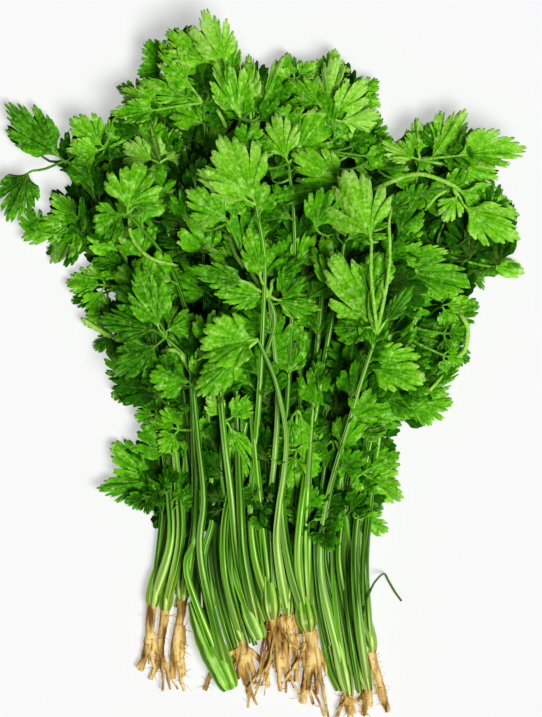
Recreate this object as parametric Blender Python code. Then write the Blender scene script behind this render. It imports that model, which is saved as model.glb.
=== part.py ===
"""Coriander bunch: twelve whole rooted plants, lying together on a table.

The bunch lies flat, roots toward -Y and leaves toward +Y, with +Z up from the table.
Every plant is laid down in turn, from the bottom of the pile to the top. A grid of
heights records what already lies there, and each new stalk, root or leaf rests on it.

Plan dimensions are in millimetres on a layout grid whose zero is at the crowns, in the
middle of the bunch. The finished model is in metres, centred over the origin.
"""

import math
import random

import bpy
import bmesh
import numpy as np
from mathutils import Vector

BUNCH_NAME = "coriander_bunch"
MM = 0.001

# Thicknesses of the pieces, all in millimetres.
BLADE_THICKNESS = 1.0
TWIG_RADIUS = 0.7
HUB_RADIUS = 1.2
TABLE_HUB_FLATNESS = 0.6
STALK_BASE_RADIUS = 1.55
STALK_END_RADIUS = 1.0

# Clear space between pieces of different nodes.
JOINT_GAP = 0.4
ROOT_GAP = 0.7
PILE_GAP = 0.6

# A leaf's hub sits this far above the middle of its stalk's end.
SEAT_DROP = HUB_RADIUS + JOINT_GAP + STALK_END_RADIUS

# How finely a run is divided, and where across a tube its top is sampled.
STALK_KNOTS = 9
ROOT_KNOTS = 6
SAMPLES_PER_SEGMENT = 16
TOP_SAMPLES = 80
TUBE_SIDES = (-1.0, -0.8, -0.5, 0.0, 0.5, 0.8, 1.0)

# A free run stays low near the crown and rises late, and more bending passes make it
# stiffer. The lifting passes then clear the pile between knots.
CLIMB_POWER = 1.8
BENDING_PASSES = 150
LIFTING_PASSES = 9
STEEPEST_CLIMB = 1.1

# A stalk may press into its sisters inside this distance of its crown, and fuses there.
CROWN_REACH = 48.0

# Spacing of sister stalks, side by side, at the crown and where they leave the sheath.
SPREAD_AT_CROWN = 1.0
SPREAD_ABOVE = 2.0

# A leaflet's outline beyond its twig: how far along it, and how wide it is there.
BLADE_OUTLINE = ((0.0, 0.08), (0.42, 0.82), (0.76, 0.98))

# The table area that the height grid covers.
GRID_STEP = 0.6
GRID_X = (-150.0, 150.0)
GRID_Y = (-60.0, 320.0)

COLOURS = {
    "root": ((0.56, 0.38, 0.17, 1.0), 0.8),
    "stalk": ((0.30, 0.52, 0.11, 1.0), 0.45),
    "leaf": ((0.09, 0.33, 0.03, 1.0), 0.5),
}

# Plants from left to right: the crown's place and height, the direction its stalks
# leave in (degrees clockwise from +Y), and its sheath's radius and length.
PLANTS = {
    1: dict(crown=(-49.5, 17.0), height=4.0, heading=8, sheath=(3.2, 17.0)),
    2: dict(crown=(-43.5, 15.0), height=4.0, heading=6, sheath=(2.7, 17.0)),
    3: dict(crown=(-35.5, 20.0), height=4.0, heading=2, sheath=(2.7, 17.0)),
    4: dict(crown=(-13.5, -22.0), height=8.8, heading=-24, sheath=(4.6, 42.0)),
    5: dict(crown=(0.0, 1.0), height=10.5, heading=-22, sheath=(3.8, 20.0)),
    6: dict(crown=(-8.5, 1.0), height=4.0, heading=-22, sheath=(2.8, 15.0)),
    7: dict(crown=(5.5, 12.0), height=7.5, heading=-6, sheath=(3.6, 20.0)),
    8: dict(crown=(12.4, 13.0), height=4.0, heading=-3, sheath=(2.4, 15.0)),
    9: dict(crown=(22.0, 6.0), height=6.5, heading=-9, sheath=(3.8, 17.0)),
    10: dict(crown=(40.0, -22.0), height=4.0, heading=-12, sheath=(3.0, 30.0)),
    11: dict(crown=(49.0, -20.0), height=4.0, heading=-14, sheath=(2.6, 26.0)),
    12: dict(crown=(50.5, -4.0), height=4.5, heading=-12, sheath=(3.2, 22.0)),
}

# Roots, bottom of the pile first: plant, then the root's plan points and its radii at
# both ends. A plant's first root runs on from its crown, and the others branch off it.
ROOTS = (
    (6, ((-9.0, -10.0), (-10.5, -18.0)), 2.2, 1.3),
    (6, ((-8.5, -3.0), (-17.0, -8.0), (-22.0, -14.0), (-25.5, -23.0)), 1.6, 1.2),
    (6, ((-7.5, -3.0), (-4.0, -11.0), (-2.5, -20.0)), 1.8, 1.2),
    (6, ((-7.0, -3.0), (1.0, -10.0), (4.0, -21.5)), 1.6, 1.1),
    (1, ((-51.0, 2.0), (-53.0, -7.0), (-55.0, -14.0)), 2.6, 1.5),
    (2, ((-45.5, 0.0), (-46.5, -9.0), (-50.5, -18.0)), 2.4, 1.4),
    (3, ((-38.0, 4.0), (-40.0, -6.0), (-40.0, -18.0)), 2.4, 1.6),
    (3, ((-37.0, 10.0), (-36.0, -2.0), (-35.5, -16.5)), 1.5, 1.2),
    (8, ((15.0, -1.0), (16.8, -10.0), (16.5, -19.0)), 2.0, 1.3),
    (7, ((8.5, -2.0), (11.5, -10.0), (13.0, -19.0)), 2.7, 1.5),
    (7, ((8.0, 0.0), (8.5, -12.0), (9.5, -23.5)), 1.6, 1.2),
    (9, ((23.0, -8.0), (21.0, -18.0), (19.5, -29.0)), 2.9, 1.8),
    (9, ((23.0, -1.0), (25.5, -12.0), (26.0, -25.0)), 1.7, 1.2),
    (9, ((23.0, 0.0), (28.5, -8.0), (31.0, -16.5)), 1.6, 1.1),
    (10, ((42.0, -33.5),), 2.5, 1.2),
    (11, ((50.8, -30.5),), 2.2, 1.0),
    (12, ((54.5, -18.0), (59.0, -33.0)), 2.7, 1.5),
)

# Leaves, bottom of the pile first. Each one: plant, height its hub is held at, the plan
# points its stalk passes, the hub, and the leaflets as (base x, y, tip x, y, width).
LEAVES = (
    # Against the table.
    (1, 1, ((-42, 52), (-47, 88)), (-56, 118),
     ((-59, 117, -68, 111, 14), (-59, 122, -71, 134, 17), (-53, 123, -50, 146, 20))),
    (3, 1, ((-33.5, 52), (-38, 110)), (-50, 168),
     ((-54, 170, -77, 174, 20), (-52, 173, -62, 196, 22), (-46, 172, -36, 194, 20))),
    (6, 1, ((-19, 52), (-19, 100)), (-22, 156),
     ((-26, 158, -46, 158, 20), (-24, 162, -30, 187, 22), (-18, 160, -6, 180, 20))),
    (8, 1, ((12, 52), (15, 95)), (22, 136),
     ((18, 140, 4, 156, 20), (24, 142, 30, 166, 22), (27, 137, 48, 142, 20))),
    (10, 1, ((31, 45), (38, 85)), (62, 128),
     ((66, 126, 84, 121, 16), (66, 131, 92, 141, 20), (61, 134, 58, 156, 20))),
    (12, 2, ((46, 45), (52, 80)), (69, 109),
     ((72, 110, 89, 110, 17), (71, 114, 92, 127, 12), (70, 106, 79, 99, 9))),
    (2, 2, ((-39, 52), (-46, 120), (-62, 168)), (-76, 194),
     ((-80, 195, -101, 190, 18), (-78, 199, -84, 219, 18), (-72, 198, -60, 215, 20))),
    (7, 3, ((-2, 55), (0, 125)), (-3, 193),
     ((-7, 196, -26, 211, 22), (-3, 199, -3, 224, 22), (2, 195, 20, 206, 20))),
    (9, 3, ((23, 60), (34, 128)), (44, 194),
     ((41, 199, 35, 222, 22), (47, 199, 60, 218, 20), (49, 193, 70, 192, 20))),
    (11, 3, ((39, 45), (54, 100), (72, 148)), (82, 180),
     ((86, 179, 100, 175, 14), (83, 185, 84, 206, 20), (78, 184, 66, 200, 18),
      (96, 174, 103, 161, 9), (100, 178, 120, 171, 8))),
    # The sides and the waist.
    (1, 6, ((-45.5, 45), (-45, 60)), (-49, 73),
     ((-53, 76, -67, 92, 20), (-54, 73, -75, 70, 14), (-52, 68, -57, 60, 8))),
    (1, 10, ((-40.5, 52), (-48, 110), (-66, 168)), (-83, 193),
     ((-85, 196, -96, 206, 13), (-87, 192, -108, 185, 13), (-84, 189, -98, 174, 21))),
    (2, 12, ((-36.5, 52), (-45, 125), (-68, 190)), (-90, 220),
     ((-93, 223, -117, 246, 20), (-87, 219, -79, 213, 10), (-109, 214, -116, 192, 19))),
    (3, 12, ((-31.5, 52), (-40, 125), (-58, 190)), (-71, 226),
     ((-74, 228, -87, 239, 18), (-75, 224, -89, 223, 14), (-69, 230, -63, 241, 9))),
    (12, 8, ((43.5, 40), (44, 58)), (47, 77),
     ((50, 79, 64, 87, 18), (50, 75, 65, 65, 19), (44, 75, 39, 67, 13))),
    (12, 14, ((41.0, 42), (37, 80)), (36, 102),
     ((40, 103, 68, 104, 18), (33, 100, 22, 92, 14))),
    (4, 14, ((-22, 52), (-24, 110)), (-26, 178),
     ((-30, 180, -47, 188, 17), (-27, 183, -33, 199, 15), (-22, 180, -12, 190, 12))),
    (10, 16, ((34, 45), (40, 95)), (49, 127),
     ((53, 133, 74, 131, 13), (52, 123, 76, 121, 18))),
    (11, 18, ((36.5, 45), (46, 105)), (60, 172),
     ((63, 181, 74, 198, 13), (64, 177, 86, 178, 14), (65, 167, 98, 163, 20))),
    (5, 16, ((-13.5, 52), (-18, 80)), (-16, 101),
     ((-12, 97, -6, 75, 14), (-12, 103, -3, 113, 12), (-19, 104, -24, 113, 10))),
    (8, 16, ((15, 52), (16, 80)), (17, 106),
     ((13, 101, 9, 81, 12), (20, 102, 25, 76, 14), (14, 71, 15, 55, 8))),
    # The upper leaves.
    (4, 18, ((-27.5, 52), (-36, 120), (-42, 185)), (-46, 219),
     ((-48, 222, -51, 238, 24), (-51, 221, -64, 228, 14), (-42, 221, -34, 227, 13))),
    (7, 22, ((1, 52), (-5, 120), (-8, 190)), (-3, 226),
     ((-5, 229, -6, 247, 9), (-5, 248, -5, 268, 13), (1, 248, 12, 269, 13))),
    (9, 22, ((20.5, 52), (25, 120), (31, 195)), (31, 239),
     ((31, 246, 35, 268, 20), (26, 247, 12, 257, 13), (37, 243, 49, 256, 14),
      (39, 237, 55, 242, 17))),
    (11, 22, ((44, 55), (52, 95), (64, 170)), (73, 220),
     ((72, 225, 71, 240, 12), (82, 222, 94, 244, 20), (69, 221, 55, 229, 12),
      (93, 222, 120, 227, 18), (92, 217, 109, 212, 14))),
    (12, 26, ((48, 45), (56, 105), (62, 180), (72, 211)), (88, 207),
     ((93, 205, 120, 193, 18), (90, 202, 84, 192, 13), (95, 196, 117, 182, 20))),
    (5, 26, ((-11.5, 52), (-18, 110), (-23, 190)), (-26, 246),
     ((-30, 250, -56, 255, 13), (-34, 257, -47, 273, 14), (-50, 242, -68, 241, 11),
      (-48, 246, -64, 252, 10))),
    (5, 28, ((-8.5, 52), (-11, 115), (-12, 195)), (-9, 239),
     ((-11, 243, -21, 265, 20), (-17, 264, -24, 288, 18), (-23, 266, -42, 279, 17),
      (-13, 262, -12, 276, 10))),
    (9, 32, ((10, 60), (13, 120), (16, 180)), (13, 218),
     ((16, 222, 32, 244, 24), (11, 222, 5, 241, 18))),
    (9, 34, ((18, 55), (28, 120), (38, 180)), (39, 208),
     ((35, 212, 14, 222, 20), (33, 206, 6, 205, 16))),
    (3, 30, ((-30, 52), (-31, 105), (-33, 129)), (-43, 139),
     ((-48, 146, -54, 171, 18), (-50, 144, -73, 149, 17), (-42, 144, -29, 151, 18),
      (-49, 134, -67, 120, 19))),
    (4, 30, ((-29.5, 52), (-29, 95)), (-31, 117),
     ((-33, 121, -50, 122, 18), (-29, 122, -24, 136, 10))),
    (7, 34, ((4, 52), (8, 110)), (4, 158),
     ((0, 157, -21, 159, 13), (9, 155, 28, 152, 14), (-1, 168, -4, 190, 14),
      (6, 167, 21, 174, 10), (-9, 166, -33, 169, 12))),
    (6, 44, ((-16.5, 52), (-4, 110), (7, 154), (-9, 174)), (-14, 190),
     ((-16, 194, -34, 205, 20), (-12, 195, -8, 208, 12))),
    (4, 36, ((-25, 52), (-30, 110), (-37, 168), (-55, 180)), (-60, 195),
     ((-60, 200, -56, 218, 26), (-64, 195, -75, 187, 19), (-56, 199, -45, 206, 13))),
    (7, 46, ((-4.5, 52), (0, 120), (2, 178)), (-2, 199),
     ((-4, 204, -17, 231, 30), (-8, 202, -29, 213, 14))),
    (8, 42, ((7.5, 52), (12, 92), (6, 122)), (-1, 138),
     ((-5, 138, -27, 135, 23), (-12, 129, -28, 112, 15))),
    (10, 44, ((28, 50), (42, 106)), (53, 141),
     ((51, 149, 31, 177, 28), (49, 145, 33, 144, 14), (57, 147, 69, 162, 8),
      (50, 188, 37, 213, 30), (58, 197, 67, 205, 9))),
)

# A thin withered stalk that curls out beside plant 11.
TENDRIL_PLANT = 11
TENDRIL = ((46.6, -10.0), (46.0, 8.0), (51.0, 25.0), (58.0, 31.0), (59.5, 26.0), (65.0, 18.0))
TENDRIL_RADIUS = 0.5

# A leaf held no higher than this lies flat, and each leaflet after its first rises by one
# more step. Any other leaflet leans sideways and lifts its tip by up to these limits. All
# angles are in degrees.
TABLE_LEAF_HEIGHT = 3
TABLE_LIFT_STEP = 1.8
LEAN_LIMIT = 20.0
LIFT_LIMIT = 11.0
LEAN_SEED = 7


class Pile:
    """Heights of everything laid down so far, on a grid over the table."""

    def __init__(self):
        self.columns = int((GRID_X[1] - GRID_X[0]) / GRID_STEP)
        self.rows = int((GRID_Y[1] - GRID_Y[0]) / GRID_STEP)
        self.tops = {}

    def copy(self):
        """A pile of the same heights, to try a piece on."""
        twin = Pile()
        twin.tops = {plant: top.copy() for plant, top in self.tops.items()}
        return twin

    def cells(self, points):
        """Grid indices of plan points."""
        i = ((points[:, 0] - GRID_X[0]) / GRID_STEP).astype(int)
        j = ((points[:, 1] - GRID_Y[0]) / GRID_STEP).astype(int)
        return np.clip(i, 1, self.columns - 2), np.clip(j, 1, self.rows - 2)

    def add(self, plant, points):
        """Raise the grid to these top points and the cells around them."""
        top = self.tops.setdefault(plant, np.zeros((self.columns, self.rows)))
        i, j = self.cells(points)
        for di in (-1, 0, 1):
            for dj in (-1, 0, 1):
                np.maximum.at(top, (i + di, j + dj), points[:, 2])

    def height(self, points, without=None):
        """Height of the pile at plan points, leaving out one plant if named."""
        i, j = self.cells(points)
        heights = np.zeros(len(points))
        for plant, top in self.tops.items():
            if plant != without:
                heights = np.maximum(heights, top[i, j])
        return heights


def along(heading):
    """Plan direction of a heading in degrees clockwise from +Y."""
    angle = math.radians(heading)
    return np.array([math.sin(angle), math.cos(angle)])


def smooth_route(points, count):
    """Evenly spaced points on a Catmull-Rom curve through plan points."""
    points = np.array(points, dtype=float)
    first = 2 * points[0] - points[1]
    last = 2 * points[-1] - points[-2]
    knots = np.vstack([first, points, last])
    fine = []
    for k in range(1, len(knots) - 2):
        p0, p1, p2, p3 = knots[k - 1:k + 3]
        for t in np.linspace(0.0, 1.0, 16, endpoint=False):
            fine.append(0.5 * (2 * p1 + (p2 - p0) * t + (2 * p0 - 5 * p1 + 4 * p2 - p3) * t ** 2
                               + (3 * p1 - p0 - 3 * p2 + p3) * t ** 3))
    fine = np.array(fine + [points[-1]])
    steps = np.linalg.norm(np.diff(fine, axis=0), axis=1)
    travelled = np.concatenate([[0.0], np.cumsum(steps)])
    wanted = np.linspace(0.0, travelled[-1], count)
    return np.column_stack([np.interp(wanted, travelled, fine[:, axis]) for axis in (0, 1)])


def rest_on(heights, depth):
    """Lowest centre heights over a pile, where there is one, for this depth below centre."""
    return np.where(heights > 0.0, heights + depth, 0.0)


def drape(pile, plant, plan, radii, start_height, end_height, crown=None):
    """Give a run of plan points its heights, bending it over the pile."""
    segments = len(plan) - 1
    where = np.linspace(0.0, segments, segments * SAMPLES_PER_SEGMENT + 1)
    knots = np.arange(segments + 1)
    fine = np.column_stack([np.interp(where, knots, plan[:, axis]) for axis in (0, 1)])
    radius = np.interp(where, knots, radii)
    across = np.gradient(fine, axis=0)
    across = np.column_stack([-across[:, 1], across[:, 0]])
    across /= np.linalg.norm(across, axis=1)[:, None] + 1e-9
    floor = radius.copy()
    own_floor = radius.copy()
    for side in TUBE_SIDES:
        offset = fine + across * radius[:, None] * side
        depth = radius * math.sqrt(1.0 - side ** 2) + PILE_GAP
        floor = np.maximum(floor, rest_on(pile.height(offset), depth))
        own_floor = np.maximum(own_floor, rest_on(pile.height(offset, without=plant), depth))
    if crown is not None:
        near = np.linalg.norm(fine - np.array(crown), axis=1) < CROWN_REACH
        floor = np.where(near, own_floor, floor)
    steps = np.linalg.norm(np.diff(fine, axis=0), axis=1)
    travelled = np.concatenate([[0.0], np.cumsum(steps)])
    floor = np.minimum(floor, start_height + STEEPEST_CLIMB * travelled)
    floor = np.minimum(floor, end_height + STEEPEST_CLIMB * (travelled[-1] - travelled))
    climb = (travelled / travelled[-1]) ** CLIMB_POWER
    heights = np.maximum(floor, start_height + (end_height - start_height) * climb)
    heights[0], heights[-1] = start_height, end_height
    for _ in range(BENDING_PASSES):
        middle = 0.5 * (heights[:-2] + heights[2:])
        heights[1:-1] = np.maximum(floor[1:-1], middle)
    run = heights[::SAMPLES_PER_SEGMENT].copy()
    half = SAMPLES_PER_SEGMENT // 2
    for _ in range(LIFTING_PASSES):
        short = floor - np.interp(where, knots, run)
        for k in range(1, segments):
            window = slice(k * SAMPLES_PER_SEGMENT - half, k * SAMPLES_PER_SEGMENT + half + 1)
            run[k] += max(0.0, short[window].max())
    return np.column_stack([plan, run])


def run_samples(run, radii):
    """Points along the top of a tube, close enough together for the height grid."""
    knots = np.arange(len(run))
    where = np.linspace(0.0, len(run) - 1, (len(run) - 1) * TOP_SAMPLES + 1)
    centre = np.column_stack([np.interp(where, knots, run[:, axis]) for axis in (0, 1, 2)])
    radius = np.interp(where, knots, radii)
    across = np.gradient(centre[:, :2], axis=0)
    across = np.column_stack([-across[:, 1], across[:, 0]])
    across /= np.linalg.norm(across, axis=1)[:, None] + 1e-9
    samples = []
    for side in TUBE_SIDES:
        plan = centre[:, :2] + across * (radius * side)[:, None]
        samples.append(np.column_stack([plan, centre[:, 2] + radius * math.sqrt(1 - side ** 2)]))
    return np.vstack(samples)


class Leaflet:
    """A flat leaflet and its twig, both in one plane that passes through the leaf's hub."""

    def __init__(self, hub, numbers, lean, lift):
        self.hub = np.array(hub, dtype=float)
        self.base = np.array(numbers[0:2], dtype=float)
        self.tip = np.array(numbers[2:4], dtype=float)
        self.half_width = numbers[4] / 2
        forward = (self.tip - self.base) / np.linalg.norm(self.tip - self.base)
        self.sideways = np.array([-forward[1], forward[0]])
        self.slope = forward * math.tan(math.radians(lift))
        self.slope += self.sideways * math.tan(math.radians(lean))
        normal = np.array([-self.slope[0], -self.slope[1], 1.0])
        self.normal = normal / np.linalg.norm(normal)

    def rise(self, plan):
        """Height of the leaflet's plane above the hub, at plan points."""
        return (plan - self.hub) @ self.slope

    def at(self, u, v):
        """Plan point a share u of the way to the tip and v half-widths to the side."""
        return self.base + u * (self.tip - self.base) + v * self.half_width * self.sideways

    def outline(self):
        """The outline's plan points, once around, from one side of the twig to the other."""
        twig = self.base - self.hub
        half_twig = np.array([-twig[1], twig[0]]) / np.linalg.norm(twig) * TWIG_RADIUS
        left = [self.hub + half_twig] + [self.at(u, w) for u, w in BLADE_OUTLINE]
        right = [self.at(u, -w) for u, w in reversed(BLADE_OUTLINE)] + [self.hub - half_twig]
        return np.array(left + [self.at(1.0, 0.0)] + right)

    def samples(self):
        """Points all over the leaflet and its twig, heights relative to the hub."""
        shares = [u for u, _ in BLADE_OUTLINE] + [1.0]
        widths = [w for _, w in BLADE_OUTLINE] + [0.02]
        plan = [self.hub + t * (self.base - self.hub) for t in np.linspace(0.0, 1.0, TOP_SAMPLES)]
        for u in np.linspace(0.0, 1.0, TOP_SAMPLES):
            reach = np.interp(u, shares, widths)
            plan += [self.at(u, v) for v in np.linspace(-reach, reach, TOP_SAMPLES // 2)]
        plan = np.array(plan)
        return np.column_stack([plan, self.rise(plan)])


class Leaf:
    """A compound leaf: leaflets on twigs that meet at the end of its stalk."""

    def __init__(self, name, plant, height, hub, leaflets, chance):
        self.name = name
        self.plant = plant
        self.hub = np.array(hub, dtype=float)
        self.wanted = height
        self.height = None
        self.leaflets = []
        for numbers in leaflets:
            lean = chance.uniform(-LEAN_LIMIT, LEAN_LIMIT)
            lift = chance.uniform(-LIFT_LIMIT, LIFT_LIMIT)
            if self.lies_on_table():
                lean, lift = 0.0, TABLE_LIFT_STEP * len(self.leaflets)
            self.leaflets.append(Leaflet(hub, numbers, lean, lift))

    def lies_on_table(self):
        """Whether this leaf is one of the lowest, which lie flat."""
        return self.wanted <= TABLE_LEAF_HEIGHT

    def around_hub(self):
        """Plan points at the hub and around it, where the stalk's end comes."""
        ring = [along(heading) * STALK_END_RADIUS for heading in range(0, 360, 45)]
        return self.hub + np.array([[0.0, 0.0], *ring])

    def settle(self, pile):
        """Hold the leaf at its wanted height, or higher where the pile is in the way.

        Returns the points over its upper side.
        """
        points = np.vstack([leaflet.samples() for leaflet in self.leaflets])
        half = BLADE_THICKNESS / 2
        below = pile.height(points)
        needed = np.where(below > 0.0, below + PILE_GAP, 0.0) - points[:, 2] + half
        if self.lies_on_table():
            lowest = HUB_RADIUS * TABLE_HUB_FLATNESS
        else:
            under_hub = pile.height(self.around_hub(), without=self.plant).max()
            room = SEAT_DROP + STALK_END_RADIUS + PILE_GAP
            lowest = max(self.wanted, under_hub + room)
        self.height = max(needed.max(), lowest)
        points[:, 2] += self.height + half
        return points


def metres(point):
    return Vector([float(value) * MM for value in point])


def tube(points, radii, sides_resolution):
    """A closed tube through points, as a curve with a bevel made into a mesh."""
    curve = bpy.data.curves.new("run", "CURVE")
    curve.dimensions = "3D"
    curve.bevel_depth = 1.0 * MM
    curve.bevel_resolution = sides_resolution
    curve.use_fill_caps = True
    spline = curve.splines.new("POLY")
    spline.points.add(len(points) - 1)
    for slot, point, radius in zip(spline.points, points, radii):
        slot.co = (*metres(point), 1.0)
        slot.radius = float(radius)
    guide = bpy.data.objects.new("run", curve)
    bpy.context.scene.collection.objects.link(guide)
    evaluated = guide.evaluated_get(bpy.context.evaluated_depsgraph_get())
    mesh = bpy.data.meshes.new_from_object(evaluated)
    bpy.data.objects.remove(guide)
    bpy.data.curves.remove(curve)
    work = bmesh.new()
    work.from_mesh(mesh)
    bmesh.ops.remove_doubles(work, verts=work.verts, dist=1e-6)
    bmesh.ops.recalc_face_normals(work, faces=work.faces)
    work.to_mesh(mesh)
    work.free()
    return mesh


def plate(leaflet, height):
    """A leaflet and its twig as one plate: the outline filled and pushed out."""
    work = bmesh.new()
    plan = leaflet.outline()
    outline = np.column_stack([plan, leaflet.rise(plan) + height])
    half = leaflet.normal * BLADE_THICKNESS / 2
    face = work.faces.new([work.verts.new(metres(point - half)) for point in outline])
    raised = bmesh.ops.extrude_face_region(work, geom=[face])["geom"]
    moved = [item for item in raised if isinstance(item, bmesh.types.BMVert)]
    bmesh.ops.translate(work, verts=moved, vec=metres(2 * half))
    bmesh.ops.recalc_face_normals(work, faces=work.faces)
    mesh = bpy.data.meshes.new("leaflet")
    work.to_mesh(mesh)
    work.free()
    return mesh


def ball(centre, radius, flatness):
    """A small faceted ball, squashed to this share of its height."""
    work = bmesh.new()
    bmesh.ops.create_icosphere(work, subdivisions=1, radius=radius * MM)
    bmesh.ops.scale(work, verts=work.verts, vec=(1.0, 1.0, flatness))
    bmesh.ops.translate(work, verts=work.verts, vec=metres(centre))
    mesh = bpy.data.meshes.new("hub")
    work.to_mesh(mesh)
    work.free()
    return mesh


def fuse(name, meshes, finish, collection):
    """One object made of overlapping meshes, joined by exact Boolean unions."""
    pieces = [bpy.data.objects.new(name, mesh) for mesh in meshes]
    for piece in pieces:
        bpy.context.scene.collection.objects.link(piece)
    body = pieces[0]
    for other in pieces[1:]:
        join = body.modifiers.new("join", "BOOLEAN")
        join.operation = "UNION"
        join.solver = "EXACT"
        join.object = other
    evaluated = body.evaluated_get(bpy.context.evaluated_depsgraph_get())
    mesh = bpy.data.meshes.new_from_object(evaluated)
    for piece in pieces:
        bpy.data.objects.remove(piece)
    mesh.materials.clear()
    mesh.materials.append(finish)
    mesh.name = name
    result = bpy.data.objects.new(name, mesh)
    collection.objects.link(result)
    return result


def make_finish(name, colour, roughness):
    """A plain Principled material."""
    material = bpy.data.materials.new(name)
    material.use_nodes = True
    shader = material.node_tree.nodes["Principled BSDF"]
    shader.inputs["Base Color"].default_value = colour
    shader.inputs["Roughness"].default_value = roughness
    shader.inputs["Metallic"].default_value = 0.0
    return material


class Bunch:
    """The whole bunch: lays every piece on the pile, then makes its solids."""

    def __init__(self):
        self.pile = Pile()
        self.root_meshes = {}
        self.stalk_meshes = {}
        self.leaves = []

    def crown_point(self, plant, distance):
        """Point on a plant's sheath, this far up from the crown."""
        facts = PLANTS[plant]
        plan = np.array(facts["crown"]) + along(facts["heading"]) * distance
        return np.array([plan[0], plan[1], facts["height"]])

    def lay_roots(self):
        """Roots lie on the table, the first ones lowest."""
        for plant, plan, thick, thin in ROOTS:
            if plant not in self.root_meshes:
                crown = PLANTS[plant]["crown"]
                back = along(PLANTS[plant]["heading"])
                plan = (crown - back * ROOT_GAP, crown - back * 2 * thick, *plan)
            route = smooth_route(plan, ROOT_KNOTS)
            radii = np.linspace(thick, thin, len(route))
            start = PLANTS[plant]["height"] - 0.7 * len(self.root_meshes.get(plant, []))
            run = drape(self.pile, plant, route, radii, max(start, radii[0]), radii[-1],
                        crown=plan[0])
            self.pile.add(plant, run_samples(run, radii))
            self.root_meshes.setdefault(plant, []).append(tube(run, radii, 1))

    def lay_sheaths(self):
        """The pale sheath at each crown, which its stalks rise from."""
        for plant, facts in PLANTS.items():
            shares = np.array([0.0, 0.35, 0.7, 1.0])
            radius, length = facts["sheath"]
            radii = radius * np.array([0.85, 1.0, 0.95, 0.7])
            run = np.array([self.crown_point(plant, share * length) for share in shares])
            self.pile.add(plant, run_samples(run, radii))
            self.stalk_meshes[plant] = [tube(run, radii, 2)]

    def lay_leaves(self):
        """Each leaf settles on the pile, then its stalk runs from the crown to it."""
        chance = random.Random(LEAN_SEED)
        counts = {plant: 0 for plant in PLANTS}
        for plant, height, route, hub, leaflets in LEAVES:
            counts[plant] += 1
            name = f"plant_{plant:02d}_leaf_{counts[plant]}"
            leaf = Leaf(name, plant, height, hub, leaflets, chance)
            sisters = sorted(entry[2][0][0] for entry in LEAVES if entry[0] == plant)
            place = sisters.index(route[0][0]) - (len(sisters) - 1) / 2
            self.lay_stalk(leaf, route, place)
            self.leaves.append(leaf)

    def lay_stalk(self, leaf, route, place):
        """Settle one leaf and run its stalk up to it, at its place among its sisters.

        A leaf on the table has its stalk behind its hub, and any other sits on its stalk.
        """
        facts = PLANTS[leaf.plant]
        forward = along(facts["heading"])
        across = np.array([forward[1], -forward[0]]) * place
        start = np.array(facts["crown"]) + forward * (5.5 + 1.2 * place) + across * SPREAD_AT_CROWN
        above = np.array(facts["crown"]) + forward * facts["sheath"][1] + across * SPREAD_ABOVE
        plan = smooth_route([start, above, *route, leaf.hub], STALK_KNOTS)
        radii = np.interp(np.linspace(0, 1, len(plan)), [0.0, 0.35, 1.0],
                          [STALK_BASE_RADIUS, STALK_BASE_RADIUS * 0.9, STALK_END_RADIUS])
        hangs_clear = not leaf.lies_on_table()
        drop = SEAT_DROP if hangs_clear else 0.0
        leaf.settle(self.pile)
        trial = self.pile.copy()
        run = drape(self.pile, leaf.plant, plan, radii, facts["height"], leaf.height - drop,
                    crown=facts["crown"])
        if hangs_clear:
            trial.add(leaf.plant, run_samples(run, radii))
        leaf_top = leaf.settle(trial)
        run = drape(self.pile, leaf.plant, plan, radii, facts["height"], leaf.height - drop,
                    crown=facts["crown"])
        if not hangs_clear:
            approach = run[-1] - run[-2]
            run[-1] -= approach / np.linalg.norm(approach) * (HUB_RADIUS + JOINT_GAP)
        self.pile.add(leaf.plant, leaf_top)
        self.pile.add(leaf.plant, run_samples(run, radii))
        self.stalk_meshes[leaf.plant].append(tube(run, radii, 1))

    def lay_tendril(self):
        """The withered stalk beside plant 11 curls away over the table."""
        plan = smooth_route(TENDRIL, 12)
        radii = np.full(len(plan), TENDRIL_RADIUS)
        start = PLANTS[TENDRIL_PLANT]["height"]
        run = drape(self.pile, TENDRIL_PLANT, plan, radii, start, TENDRIL_RADIUS,
                    crown=PLANTS[TENDRIL_PLANT]["crown"])
        self.stalk_meshes[TENDRIL_PLANT].append(tube(run, radii, 0))

    def leaf_meshes(self, leaf):
        """A leaf's hub, twigs and leaflets."""
        hub = np.array([leaf.hub[0], leaf.hub[1], leaf.height])
        flatness = TABLE_HUB_FLATNESS if leaf.lies_on_table() else 1.0
        meshes = [ball(hub, HUB_RADIUS, flatness)]
        meshes += [plate(leaflet, leaf.height) for leaflet in leaf.leaflets]
        return meshes

    def build(self):
        """Make every solid and return the objects."""
        collection = bpy.data.collections.new(BUNCH_NAME)
        bpy.context.scene.collection.children.link(collection)
        finishes = {name: make_finish(name, *look) for name, look in COLOURS.items()}
        made = []
        for plant in PLANTS:
            label = f"plant_{plant:02d}"
            if plant in self.root_meshes:
                made.append(fuse(f"{label}_root", self.root_meshes[plant], finishes["root"],
                                 collection))
            made.append(fuse(f"{label}_stalks", self.stalk_meshes[plant], finishes["stalk"],
                             collection))
        for leaf in self.leaves:
            made.append(fuse(leaf.name, self.leaf_meshes(leaf), finishes["leaf"], collection))
        return made


def centre_over_origin(objects):
    """Shift the finished solids so the bunch stands centred over the origin."""
    corners = np.array([tuple(vertex.co) for item in objects for vertex in item.data.vertices])
    low, high = corners.min(axis=0), corners.max(axis=0)
    shift = Vector((-(low[0] + high[0]) / 2, -(low[1] + high[1]) / 2, -low[2]))
    for item in objects:
        item.location = shift


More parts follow.
